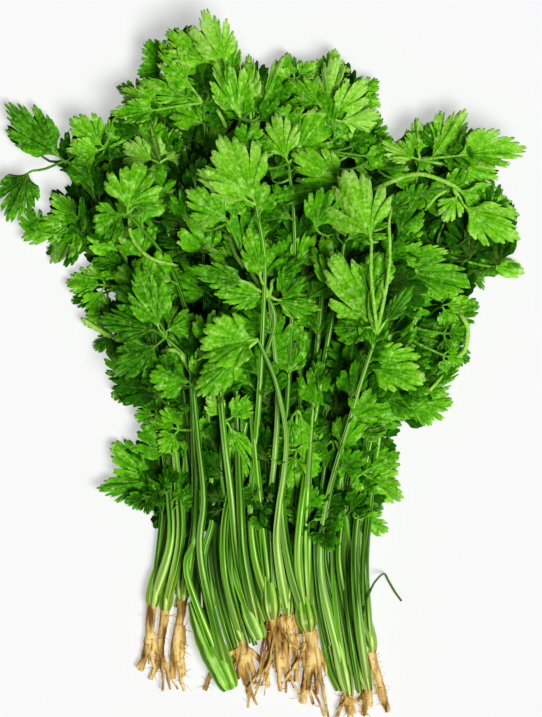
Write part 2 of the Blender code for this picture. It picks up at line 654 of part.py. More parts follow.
def main():
    for item in list(bpy.data.objects):
        bpy.data.objects.remove(item)
    bunch = Bunch()
    bunch.lay_roots()
    bunch.lay_sheaths()
    bunch.lay_leaves()
    bunch.lay_tendril()
    centre_over_origin(bunch.build())


main()
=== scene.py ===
"""Looks of a loose bunch of twelve whole coriander plants, lying flat.

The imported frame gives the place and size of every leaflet, stalk and root. Each of its
plain solids is read back into what it stands for (a leaflet's base, tip and width, or a
stalk's route and thickness), and a finished piece takes its place: toothed and veined
blades on thin twigs, ribbed stalks out of pale sheaths, and knotted roots with hairs.
Between them, smaller inner leaves fill the bunch.

Lengths are in millimetres, and meshes are made in metres.
"""

import logging
import math
import random
from collections import defaultdict
from dataclasses import dataclass, field, replace
from enum import Enum
from typing import Iterable, Optional

import bpy
import numpy as np
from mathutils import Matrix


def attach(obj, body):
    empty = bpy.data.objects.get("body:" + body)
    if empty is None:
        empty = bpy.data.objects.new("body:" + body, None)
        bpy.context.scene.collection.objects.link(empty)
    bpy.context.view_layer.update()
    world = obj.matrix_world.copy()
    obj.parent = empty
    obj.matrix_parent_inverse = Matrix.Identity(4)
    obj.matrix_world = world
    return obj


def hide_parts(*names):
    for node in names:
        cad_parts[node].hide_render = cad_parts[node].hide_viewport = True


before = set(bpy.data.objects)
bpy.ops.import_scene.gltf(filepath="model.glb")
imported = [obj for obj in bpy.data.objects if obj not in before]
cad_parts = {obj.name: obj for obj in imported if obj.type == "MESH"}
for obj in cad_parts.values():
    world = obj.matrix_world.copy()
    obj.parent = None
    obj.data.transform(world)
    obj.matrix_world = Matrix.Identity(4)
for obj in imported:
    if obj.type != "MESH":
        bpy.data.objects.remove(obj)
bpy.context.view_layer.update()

log = logging.getLogger("coriander_bunch")

MM = 0.001
BODY = "root"

# How the frame's plain leaflets are drawn: shares of their length and half width.
FRAME_TIP_PAIR = (0.76, 0.98)
FRAME_MIDDLE_PAIR = (0.42, 0.82)
FRAME_BASE_WIDTH = 0.08
FRAME_THICKNESS = 1.0

# How far a stalk's end lies below the hub of the leaf it carries.
FRAME_SEAT_DROP = 2.6

# How far above the floor the lowest leaf edges stay.
REST_GAP = 0.15

# Number of sides of the frame's tubes.
RUN_SIDES = 6
SHEATH_SIDES = 8
TENDRIL_SIDES = 4

# How many points a stalk and its sheath are drawn with.
STALK_POINTS = 44
SHEATH_POINTS = 26

# How far above the floor a leaf's twigs stay.
TWIG_GAP = 0.05


class Tone(Enum):
    """How light a leaflet is, as its share between the deepest and palest green."""

    DARK = 0.22
    DEEP = 0.4
    FRESH = 0.55
    BRIGHT = 0.66
    LIGHT = 0.74
    PALE = 0.88


class Cut(Enum):
    """How a leaflet's edge is cut."""

    FAN = "fan"
    DEEP_FAN = "deep_fan"
    COMB = "comb"
    STRAP = "strap"


# --- Reading the frame ---


@dataclass(frozen=True)
class Reading:
    """Limits for reading the frame's solids, in millimetres where they are lengths."""

    same_plane: float = 0.9999
    same_place: float = 0.004
    least_hub_height: float = 1.2
    least_upward: float = 0.7
    least_area: float = 8.0
    plane_gap: float = 0.01
    hub_reach: float = 3.0
    same_tip: float = 0.5
    least_width: float = 4.0
    least_reach: float = 1.0
    off_square: float = 0.02
    corner_gap: float = 0.06
    least_spoke: float = 0.3
    uneven_spokes: float = 0.03
    same_radius: float = 0.02


READ = Reading()


@dataclass(frozen=True)
class Leaflet:
    """Where one leaflet is: its base and tip, half its width, and its upward normal."""

    base: np.ndarray
    tip: np.ndarray
    half_width: float
    normal: np.ndarray

    @property
    def length(self) -> float:
        """Distance from base to tip."""
        return float(np.linalg.norm(self.tip - self.base))


@dataclass(frozen=True)
class Run:
    """A stalk or root as points along its middle, with its radius at each."""

    points: np.ndarray
    radii: np.ndarray

    def smooth(self, count: int) -> "Run":
        """The same run through evenly spaced points on a Catmull-Rom curve.

        Args:
            count: how many points the new run has.

        Returns:
            The new run.
        """
        ends = [2 * self.points[0] - self.points[1]], [2 * self.points[-1] - self.points[-2]]
        knots = np.vstack([ends[0], self.points, ends[1]])
        fine, radii = [], []
        for k in range(len(self.points) - 1):
            p0, p1, p2, p3 = knots[k:k + 4]
            for t in np.linspace(0.0, 1.0, 12, endpoint=False):
                fine.append(0.5 * (2 * p1 + (p2 - p0) * t + (2 * p0 - 5 * p1 + 4 * p2 - p3) * t ** 2
                                   + (3 * p1 - p0 - 3 * p2 + p3) * t ** 3))
                radii.append(self.radii[k] * (1 - t) + self.radii[k + 1] * t)
        fine = np.array(fine + [self.points[-1]])
        radii = np.array(radii + [self.radii[-1]])
        steps = np.linalg.norm(np.diff(fine, axis=0), axis=1)
        travelled = np.concatenate([[0.0], np.cumsum(steps)])
        wanted = np.linspace(0.0, travelled[-1], count)
        points = np.column_stack([np.interp(wanted, travelled, fine[:, axis]) for axis in range(3)])
        return Run(points, np.interp(wanted, travelled, radii))

    def clear_floor(self, gap: float, share: float = 1.0) -> None:
        """Lift the points in place, so that this share of the tube stays clear of the floor."""
        self.points[:, 2] = np.maximum(self.points[:, 2], self.radii * share + gap)


def route(places: Iterable[np.ndarray], radii: Iterable[float], count: int, gap: float) -> Run:
    """A smooth run through some places that stays clear of the floor.

    Args:
        places: the places that it goes through.
        radii: its radius at each place.
        count: how many points it has.
        gap: how far above the floor it stays.

    Returns:
        The run.
    """
    run = Run(np.array(places), np.array(radii)).smooth(count)
    run.clear_floor(gap)
    return run


def corners_of(mesh: bpy.types.Mesh) -> np.ndarray:
    """The mesh's corners, in millimetres."""
    return np.array([tuple(vertex.co) for vertex in mesh.vertices]) / MM


def plant_of(node: str) -> str:
    """The plant that a node belongs to."""
    return "_".join(node.split("_")[:2])


class Solid:
    """A frame node's closed mesh with its doubled corners merged, in millimetres."""

    def __init__(self, node: str) -> None:
        """Read the node's mesh.

        Args:
            node: the frame node's name.
        """
        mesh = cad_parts[node].data
        corners = corners_of(mesh)
        _, first, index = np.unique(np.round(corners, 3), axis=0, return_index=True,
                                    return_inverse=True)
        index = index.reshape(-1)
        self.points = corners[first]
        triangles = [[index[v] for v in face.vertices] for face in mesh.polygons]
        self.triangles = np.array([t for t in triangles if len(set(t)) == 3])
        a, b, c = (self.points[self.triangles[:, k]] for k in range(3))
        normals = np.cross(b - a, c - a)
        sizes = np.linalg.norm(normals, axis=1)
        self.areas = sizes / 2
        self.normals = normals / np.maximum(sizes, 1e-12)[:, None]
        self.beside = defaultdict(list)
        self.near = defaultdict(set)
        for number, triangle in enumerate(self.triangles):
            for k in range(3):
                edge = triangle[k], triangle[(k + 1) % 3]
                self.beside[tuple(sorted(edge))].append(number)
                self.near[edge[0]].add(edge[1])
                self.near[edge[1]].add(edge[0])

    def flat_patches(self) -> list[list[int]]:
        """Groups of neighbouring triangles that lie in one plane, the largest first.

        Returns:
            The groups, as lists of triangle numbers.
        """
        seen, patches = set(), []
        for start in np.argsort(-self.areas):
            if start in seen:
                continue
            seen.add(start)
            patch, waiting = [start], [start]
            while waiting:
                triangle = self.triangles[waiting.pop()]
                for k in range(3):
                    edge = tuple(sorted((triangle[k], triangle[(k + 1) % 3])))
                    for other in self.beside[edge]:
                        level = self.normals[other] @ self.normals[start] > READ.same_plane
                        if level and other not in seen:
                            seen.add(other)
                            patch.append(other)
                            waiting.append(other)
            patches.append(patch)
        return patches

    def hub(self) -> np.ndarray:
        """Centre of the leaf's hub: halfway between its top and bottom corners.

        Returns:
            The centre.
        """
        best, middle = 0.0, self.points.mean(axis=0)
        for k, point in enumerate(self.points):
            above = self.points[k + 1:]
            same = np.abs(above[:, :2] - point[:2]).max(axis=1) < READ.same_place
            for other in above[same]:
                if abs(other[2] - point[2]) > max(best, READ.least_hub_height):
                    best, middle = abs(other[2] - point[2]), (point + other) / 2
        return middle

    def leaflets(self) -> list[Leaflet]:
        """Every leaflet, found from the corners that its plane outline must have.

        Returns:
            The leaflets.
        """
        hub = self.hub()
        found: list[Leaflet] = []
        for patch in self.flat_patches():
            normal = self.normals[patch[0]]
            if normal[2] < READ.least_upward or self.areas[patch].sum() < READ.least_area:
                continue
            height = (self.points - self.points[self.triangles[patch[0]][0]]) @ normal
            top, bottom = (self.points[np.abs(height + depth) < READ.plane_gap] + normal * depth
                           for depth in (0.0, FRAME_THICKNESS))
            flat = np.unique(np.round(np.vstack([top, bottom]), 2), axis=0)
            far = flat[np.linalg.norm(flat - hub, axis=1) > READ.hub_reach]
            for leaflet in self._in_plane(far, flat, normal):
                if all(np.linalg.norm(leaflet.tip - other.tip) > READ.same_tip for other in found):
                    found.append(leaflet)
        return found

    @staticmethod
    def _in_plane(far: np.ndarray, flat: np.ndarray, normal: np.ndarray) -> list[Leaflet]:
        """The leaflets whose tips and widest pairs are among these corners of one plane.

        Args:
            far: the plane's corners away from the hub.
            flat: all the plane's corners.
            normal: the plane's normal.

        Returns:
            The leaflets that at least three other corners confirm.
        """
        found = []
        for tip in far:
            for i, left in enumerate(far):
                for right in far[i + 1:]:
                    across, axis = (left - right)[:2], (tip - (left + right) / 2)[:2]
                    width, reach = np.linalg.norm(across), np.linalg.norm(axis)
                    if (width < READ.least_width or reach < READ.least_reach
                            or abs(across @ axis) > READ.off_square * width * reach):
                        continue
                    base = tip - (tip - (left + right) / 2) / (1 - FRAME_TIP_PAIR[0])
                    half = width / 2 / FRAME_TIP_PAIR[1]
                    sideways = across / width * half
                    hits = 0
                    for share, wide in (FRAME_MIDDLE_PAIR, (0.0, FRAME_BASE_WIDTH)):
                        for sign in (-1, 1):
                            corner = (base + share * (tip - base))[:2] + sign * wide * sideways
                            gap = np.linalg.norm(flat[:, :2] - corner, axis=1).min()
                            hits += gap < READ.corner_gap
                    if hits > 2:
                        found.append(Leaflet(base, tip, half, normal))
        return found

    def end_caps(self, sides: int) -> list[tuple[set[int], np.ndarray]]:
        """Find the flat regular ends of tubes.

        Args:
            sides: how many sides the tubes have.

        Returns:
            Each end's corners and its centre.
        """
        caps = []
        for patch in self.flat_patches():
            corners = set(self.triangles[patch].ravel())
            if len(patch) == sides - 2 and len(corners) == sides:
                ring = self.points[list(corners)]
                spokes = np.linalg.norm(ring - ring.mean(axis=0), axis=1)
                even = np.ptp(spokes) < READ.uneven_spokes * spokes.mean()
                if even and spokes.min() > READ.least_spoke:
                    caps.append((corners, ring.mean(axis=0)))
        return caps

    def ring_radius(self, corners: set[int], centre: np.ndarray) -> float:
        """Mean distance of these corners from a centre."""
        return float(np.linalg.norm(self.points[list(corners)] - centre, axis=1).mean())

    def run_from(self, cap: set[int], sides: int) -> Run:
        """Follow a tube ring by ring from its end until it meets another.

        Args:
            cap: the corners of the tube's end.
            sides: how many sides the tube has.

        Returns:
            The run, starting at this end.
        """
        points, radii = [], []
        ring, last = set(cap), set()
        while len(ring) == sides:
            corners = self.points[list(ring)]
            points.append(corners.mean(axis=0))
            radii.append(np.linalg.norm(corners - points[-1], axis=1).mean())
            following = set().union(*(self.near[v] for v in ring)) - ring - last
            ring, last = following, ring
        return Run(np.array(points), np.array(radii))


# --- Finishes ---


class NodeTree:
    """A node tree under construction, with short names for its nodes."""

    def __init__(self, tree: bpy.types.NodeTree) -> None:
        """Work on this tree."""
        self.tree = tree

    def feed(self, socket: bpy.types.NodeSocket, value) -> None:
        """Set a socket to a number or colour, or link another socket to it.

        Args:
            socket: the socket.
            value: the number, colour or other socket.
        """
        if isinstance(value, bpy.types.NodeSocket):
            self.tree.links.new(value, socket)
        else:
            socket.default_value = value

    def add(self, kind: str, settings: Optional[dict] = None, **inputs) -> bpy.types.Node:
        """Add a node.

        Args:
            kind: the node's type.
            settings: properties of the node itself.
            **inputs: for each of its inputs, named with _ for a space, a value or socket.

        Returns:
            The node.
        """
        node = self.tree.nodes.new(kind)
        for name, value in (settings or {}).items():
            setattr(node, name, value)
        for name, value in inputs.items():
            self.feed(node.inputs[int(name[1:]) if name[0] == "_" else name.replace("_", " ")],
                      value)
        return node

    def math(self, operation: str, a, b=0.0, c=0.0, clamp: bool = False) -> bpy.types.NodeSocket:
        """One step of arithmetic on numbers or sockets."""
        return self.add("ShaderNodeMath", {"operation": operation, "use_clamp": clamp},
                        _0=a, _1=b, _2=c).outputs[0]

    def times(self, a, b) -> bpy.types.NodeSocket:
        """The product of two numbers or sockets."""
        return self.math("MULTIPLY", a, b)

    def plus(self, a, b, clamp: bool = False) -> bpy.types.NodeSocket:
        """The sum of two numbers or sockets, kept from 0 to 1 if clamped."""
        return self.math("ADD", a, b, clamp=clamp)


class Shader(NodeTree):
    """A material under construction."""

    def __init__(self, name: str) -> None:
        """Start a Principled material.

        Args:
            name: the material's name.
        """
        self.material = bpy.data.materials.new(name)
        self.material.use_nodes = True
        super().__init__(self.material.node_tree)
        self.surface = self.tree.nodes["Principled BSDF"]

    def attribute(self, name: str) -> bpy.types.NodeSocket:
        """A named number stored on the mesh's points."""
        return self.add("ShaderNodeAttribute", {"attribute_name": name}).outputs["Fac"]

    def mix(self, share, a, b: tuple) -> bpy.types.NodeSocket:
        """A colour this share of the way to another."""
        return self.add("ShaderNodeMix", {"data_type": "RGBA"}, _0=share, _6=a,
                        _7=(*b, 1.0)).outputs[2]

    def ramp(self, value, stops: tuple[tuple[float, tuple], ...]) -> bpy.types.NodeSocket:
        """A colour looked up on a scale of colours.

        Args:
            value: the place on the scale, from 0 to 1.
            stops: places on the scale and their colours.

        Returns:
            The colour.
        """
        node = self.add("ShaderNodeValToRGB", _0=value)
        scale = node.color_ramp.elements
        while len(scale) < len(stops):
            scale.new(0.5)
        for element, (position, colour) in zip(scale, stops):
            element.position = position
            element.color = (*colour, 1.0)
        return node.outputs[0]

    def noise(self, place, scale: float, detail: float) -> bpy.types.NodeSocket:
        """Soft noise looked up at a place, from 0 to 1."""
        return self.add("ShaderNodeTexNoise", Vector=place, Scale=scale,
                        Detail=detail).outputs["Fac"]

    def grain(self, scale: float, detail: float = 2.0, stretch=(1, 1, 1)) -> bpy.types.NodeSocket:
        """Soft noise all through the piece, from 0 to 1.

        Args:
            scale: grains a metre.
            detail: how much finer its detail goes.
            stretch: how much denser it is along each axis.

        Returns:
            The noise.
        """
        place = self.add("ShaderNodeTexCoord").outputs["Object"]
        mapping = self.add("ShaderNodeMapping", Scale=stretch, Vector=place)
        return self.noise(mapping.outputs[0], scale, detail)

    def centred(self, value, depth: float) -> bpy.types.NodeSocket:
        """A number from 0 to 1 turned into one from minus half to plus half this depth."""
        return self.times(self.math("SUBTRACT", value, 0.5), depth)

    def streaks(self, across: float, along: float = 16.0) -> bpy.types.NodeSocket:
        """Noise drawn out along a tube, from the numbers that its sweep stores.

        Args:
            across: how finely it changes round the tube.
            along: how finely it changes along it, in changes a metre.

        Returns:
            The noise, from 0 to 1.
        """
        offset = self.attribute("variety")
        x, y = (self.math("MULTIPLY_ADD", self.attribute(label), across, offset)
                for label in ("around_x", "around_y"))
        place = self.add("ShaderNodeCombineXYZ", _0=x, _1=y,
                         _2=self.times(self.attribute("travel"), along))
        return self.noise(place.outputs[0], 1.0, 3.0)

    def step(self, value, start: float, end: float) -> bpy.types.NodeSocket:
        """A soft step from 0 to 1 as the value goes from start to end.

        Args:
            value: the value.
            start: where the step begins.
            end: where it ends.

        Returns:
            The step.
        """
        rising = start < end
        return self.add("ShaderNodeMapRange", {"interpolation_type": "SMOOTHSTEP"}, Value=value,
                        From_Min=min(start, end), From_Max=max(start, end),
                        To_Min=float(not rising), To_Max=float(rising)).outputs["Result"]

    def bump(self, height, depth: float) -> None:
        """Raise the surface by a pattern, by this depth in metres."""
        node = self.add("ShaderNodeBump", Strength=1.0, Distance=depth, Height=height)
        self.feed(self.surface.inputs["Normal"], node.outputs[0])

    def finish(self, colour, roughness, **plain: float) -> bpy.types.Material:
        """Connect the surface and finish the material.

        Args:
            colour: the colour or its socket.
            roughness: the roughness or its socket.
            **plain: other inputs by name, with _ for a space.

        Returns:
            The material.
        """
        plain = {"Base_Color": colour, "Roughness": roughness, **plain}
        for name, value in plain.items():
            self.feed(self.surface.inputs[name.replace("_", " ")], value)
        return self.material


@dataclass(frozen=True)
class LeafFinish:
    """Soft green leaf with paler veins and a greyer underside, with painted glints, a painted
    highlight along the edges, and painted light and shade over the pleats and fine crinkles.
    """

    name: str = "coriander_leaf"
    gloss: float = 0.3
    shade: tuple = (0.0015, 0.018, 0.0003)
    deep: tuple = (0.014, 0.118, 0.0004)
    fresh: tuple = (0.070, 0.370, 0.0010)
    bright: tuple = (0.160, 0.540, 0.0040)
    pale: tuple = (0.400, 0.760, 0.1100)
    vein: tuple = (0.400, 0.740, 0.1000)
    # Colour of the painted glints: painted highlights on the lighter leaves.
    painted_glint: tuple = (0.520, 0.850, 0.200)
    under: tuple = (0.150, 0.440, 0.0350)
    sheen: tuple = (0.62, 1.0, 0.20, 1.0)
    roughness: float = 0.33

    def material(self) -> bpy.types.Material:
        """Build the leaf material.

        Returns:
            The material.
        """
        make = Shader(self.name)
        mottle = make.centred(make.grain(110.0, 3.0), 0.50)
        # Fine speckle of lighter and darker green: painted light and shade of the crinkled surface.
        painted_crinkle_shading = make.centred(make.grain(620.0, 3.0), 0.52)
        # Lighter towards the edges: a painted highlight along the rims of the teeth.
        rim = make.times(make.attribute("margin"), 0.16)
        # Lighter on the pleats' ridges and darker in their hollows: painted light and shade.
        crest = make.centred(make.attribute("crest"), 0.20)
        tone = make.plus(make.plus(make.attribute("tone"), rim),
                         make.plus(crest, make.plus(mottle, painted_crinkle_shading)), clamp=True)
        body = make.ramp(tone, ((0.0, self.shade), (0.3, self.deep), (0.55, self.fresh),
                                (0.75, self.bright), (1.0, self.pale)))
        veined = make.times(make.attribute("vein"), make.plus(make.times(tone, 0.55), 0.10))
        # Painted glints: pale specks on the lighter leaves, painted highlights.
        painted_glints = make.times(make.step(make.grain(310.0, 5.0), 0.50, 0.74),
                            make.times(make.step(tone, 0.35, 0.75), 0.66))
        below = make.times(make.attribute("underside"), 0.6)
        colour = make.mix(veined, body, self.vein)
        colour = make.mix(below, make.mix(painted_glints, colour, self.painted_glint), self.under)
        make.bump(make.grain(460.0, 3.0), 0.0012)
        rough = make.plus(make.times(make.grain(400.0), 0.22), self.roughness - 0.11)
        return make.finish(colour, rough, Specular_IOR_Level=self.gloss, Specular_Tint=self.sheen)


@dataclass(frozen=True)
class StalkFinish:
    """Ribbed green stalk with dark streaks and pale streaks that are partly painted highlights,
    yellow towards the crown, with painted highlights on the ribs and painted shade in the grooves.
    """

    neck: tuple = (0.420, 0.240, 0.050)
    crown: tuple = (0.400, 0.520, 0.030)
    lower: tuple = (0.210, 0.660, 0.004)
    upper: tuple = (0.120, 0.540, 0.001)
    deep: tuple = (0.006, 0.080, 0.0003)
    # Pale colour of the streaks and of the painted highlights on the ribs.
    streak_and_highlight: tuple = (0.640, 0.950, 0.240)
    sheen: tuple = (0.75, 1.0, 0.40, 1.0)
    roughness: float = 0.30
    name: str = "coriander_stalk"
    across: float = 1.35
    dark: float = 0.75

    def material(self) -> bpy.types.Material:
        """Build the stalk material.

        Returns:
            The material.
        """
        make = Shader(self.name)
        body = make.ramp(make.attribute("along"), (
            (0.0, self.neck), (0.02, self.crown), (0.14, self.lower), (0.6, self.upper),
            (1.0, self.upper)))
        streaks = make.streaks(self.across)
        light = make.step(streaks, 0.51, 0.64)
        dark = make.step(streaks, 0.49, 0.36)
        # Painted highlights on the rib crests, with the pale streaks, which are partly painted
        # highlights, and each stalk's paleness; weaker towards the leaf end.
        painted_rib_highlights = make.times(make.step(make.attribute("rib"), 0.50, 1.0), 0.46)
        paler = make.plus(make.plus(painted_rib_highlights, make.times(light, 0.80)), make.attribute("paleness"),
                          clamp=True)
        paler = make.times(paler, make.math("MULTIPLY_ADD", make.attribute("along"), -0.65, 1.0))
        # Painted shade in the grooves between the ribs, added to the dark streaks and each stalk's
        # dimming and painted shade.
        painted_groove_shade = make.math("MULTIPLY_ADD", make.attribute("rib"), -0.6, 0.6)
        darker = make.plus(make.times(dark, self.dark), make.plus(painted_groove_shade, make.attribute("dim")),
                           clamp=True)
        colour = make.mix(darker, make.mix(paler, body, self.streak_and_highlight), self.deep)
        make.bump(streaks, 0.0005)
        return make.finish(colour, self.roughness, Specular_IOR_Level=0.5,
                           Specular_Tint=self.sheen)


@dataclass(frozen=True)
class RootFinish:
    """Golden tan root with lighter and darker streaks along it and darker rings across it; its
    darkest colour is painted crease shade.
    """

    skin: tuple = (0.560, 0.335, 0.070)
    light: tuple = (0.880, 0.650, 0.240)
    # Painted shade of the root's creases, its darkest colour.
    crease_shade: tuple = (0.150, 0.060, 0.004)
    roughness: float = 0.6

    def material(self) -> bpy.types.Material:
        """Build the root material.

        Returns:
            The material.
        """
        make = Shader("coriander_root")
        streaks_along = make.grain(240.0, 4.0, (1.0, 0.22, 1.0))
        body = make.ramp(streaks_along, ((0.36, self.crease_shade), (0.47, self.skin), (0.60, self.light)))
        # Darker rings across the root: painted crease shade.
        rings = make.step(make.grain(420.0, 3.0, (0.3, 1.5, 0.3)), 0.42, 0.30)
        colour = make.mix(make.times(rings, 0.45), body, self.crease_shade)
        make.bump(make.grain(800.0, 4.0, (1.0, 0.4, 1.0)), 0.0004)
        return make.finish(colour, self.roughness, Specular_IOR_Level=0.3)


# --- Meshes ---


def new_object(name: str, data: bpy.types.ID) -> bpy.types.Object:
    """A new object with this data, in the scene.

    Args:
        name: its name.
        data: its mesh, light or camera.

    Returns:
        The object.
    """
    made = bpy.data.objects.new(name, data)
    bpy.context.scene.collection.objects.link(made)
    return made


def store_numbers(mesh: bpy.types.Mesh, numbers: dict[str, list]) -> None:
    """Store each list of numbers on the mesh's points, under its name.

    Args:
        mesh: the mesh.
        numbers: by name, one number for each point.
    """
    for label, values in numbers.items():
        layer = mesh.attributes.new(label, "FLOAT", "POINT")
        layer.data.foreach_set("value", np.array(values, dtype=np.float32))


class Basket:
    """Collects many small closed shells, then makes one mesh object of them."""

    def __init__(self) -> None:
        """Start empty."""
        self.points: list[np.ndarray] = []
        self.faces: list[tuple[int, ...]] = []
        self.numbers: dict[str, list[np.ndarray]] = defaultdict(list)
        self.count = 0

    def add(self, points: np.ndarray, faces: Iterable[tuple[int, ...]],
            **numbers: np.ndarray) -> None:
        """Add one shell.

        Args:
            points: its corners, in millimetres.
            faces: its faces, by corner number.
            **numbers: named numbers, one for each corner.
        """
        self.faces.extend(tuple(v + self.count for v in face) for face in faces)
        self.points.append(points)
        self.count += len(points)
        for name, values in numbers.items():
            self.numbers[name].append(np.broadcast_to(values, len(points)))

    def piece(self, name: str, material: bpy.types.Material) -> bpy.types.Object:
        """Make the object, smoothly shaded, with its named numbers on its points.

        Args:
            name: the object's name.
            material: its material.

        Returns:
            The object.
        """
        mesh = bpy.data.meshes.new(name)
        mesh.from_pydata((np.vstack(self.points) * MM).tolist(), [], self.faces)
        store_numbers(mesh, {label: np.concatenate(values)
                             for label, values in self.numbers.items()})
        mesh.materials.append(material)
        mesh.shade_smooth()
        mesh.update()
        return new_object(name, mesh)


def unit(vector: np.ndarray) -> np.ndarray:
    """The vector at length one."""
    return vector / max(float(np.linalg.norm(vector)), 1e-9)


def direction(heading: float, climb: float = 0.0) -> np.ndarray:
    """One step at this heading in radians, with this climb."""
    return np.array([math.cos(heading), math.sin(heading), climb])


def profile(count: int, shares: tuple, values: tuple) -> np.ndarray:
    """Numbers at even steps along a run, between the values given at these shares of it."""
    return np.interp(np.linspace(0.0, 1.0, count), shares, values)


def rolled(ahead: np.ndarray, roll: float) -> np.ndarray:
    """The upward normal of a leaflet that points this way, rolled by an angle in radians."""
    sideways = unit(np.cross((0.0, 0.0, 1.0), ahead))
    return unit(np.cross(ahead, sideways * math.cos(roll) + np.array([0, 0, math.sin(roll)])))


def softened(values: np.ndarray, reach: int) -> np.ndarray:
    """The greatest value within reach of each, then averaged over the same reach.

    Args:
        values: the values, in order.
        reach: how many steps each way.

    Returns:
        The softened values.
    """
    peaks = np.array([values[max(0, k - reach):k + reach + 1].max() for k in range(len(values))])
    wide = np.ones(2 * reach + 1)
    return np.convolve(np.pad(peaks, reach, mode="edge"), wide / wide.sum(), mode="valid")


def tube(run: Run, sides: int) -> tuple[np.ndarray, list]:
    """A closed tube along a run.

    Args:
        run: the run that it follows.
        sides: how many sides it has.

    Returns:
        Its corners and faces.
    """
    points, rings, side = run.points, [], None
    for k, point in enumerate(points):
        forward = unit(points[min(k + 1, len(points) - 1)] - points[max(k - 1, 0)])
        guess = np.array([0.0, 0.0, 1.0]) if side is None else side
        side = unit(guess - forward * (guess @ forward))
        other = np.cross(forward, side)
        turn = np.linspace(0.0, 2 * math.pi, sides, endpoint=False)[:, None]
        rings.append(point + run.radii[k] * (np.cos(turn) * side + np.sin(turn) * other))
    corners = np.vstack([*rings, points[:1], points[-1:]])
    faces = []
    last = (len(points) - 1) * sides
    for j in range(sides):
        nxt = (j + 1) % sides
        for k in range(0, last, sides):
            faces.append((k + j, k + nxt, k + sides + nxt, k + sides + j))
        faces.append((nxt, j, len(corners) - 2))
        faces.append((last + j, last + nxt, len(corners) - 1))
    return corners, faces


def twig(basket: Basket, run: Run, tone: float, sides: int = 6, vein: float = 0.55) -> None:
    """Add a thin closed branch to a basket of leaf shells.

    Args:
        basket: where it goes.
        run: the run that it follows.
        tone: how light it is.
        sides: how many sides it has.
        vein: how pale it is, as a share of a vein's paleness.
    """
    # Twigs take a high share of the painted pleat light.
    basket.add(*tube(run, sides), tone=tone, vein=vein, margin=0.0, crest=0.8, underside=0.0)


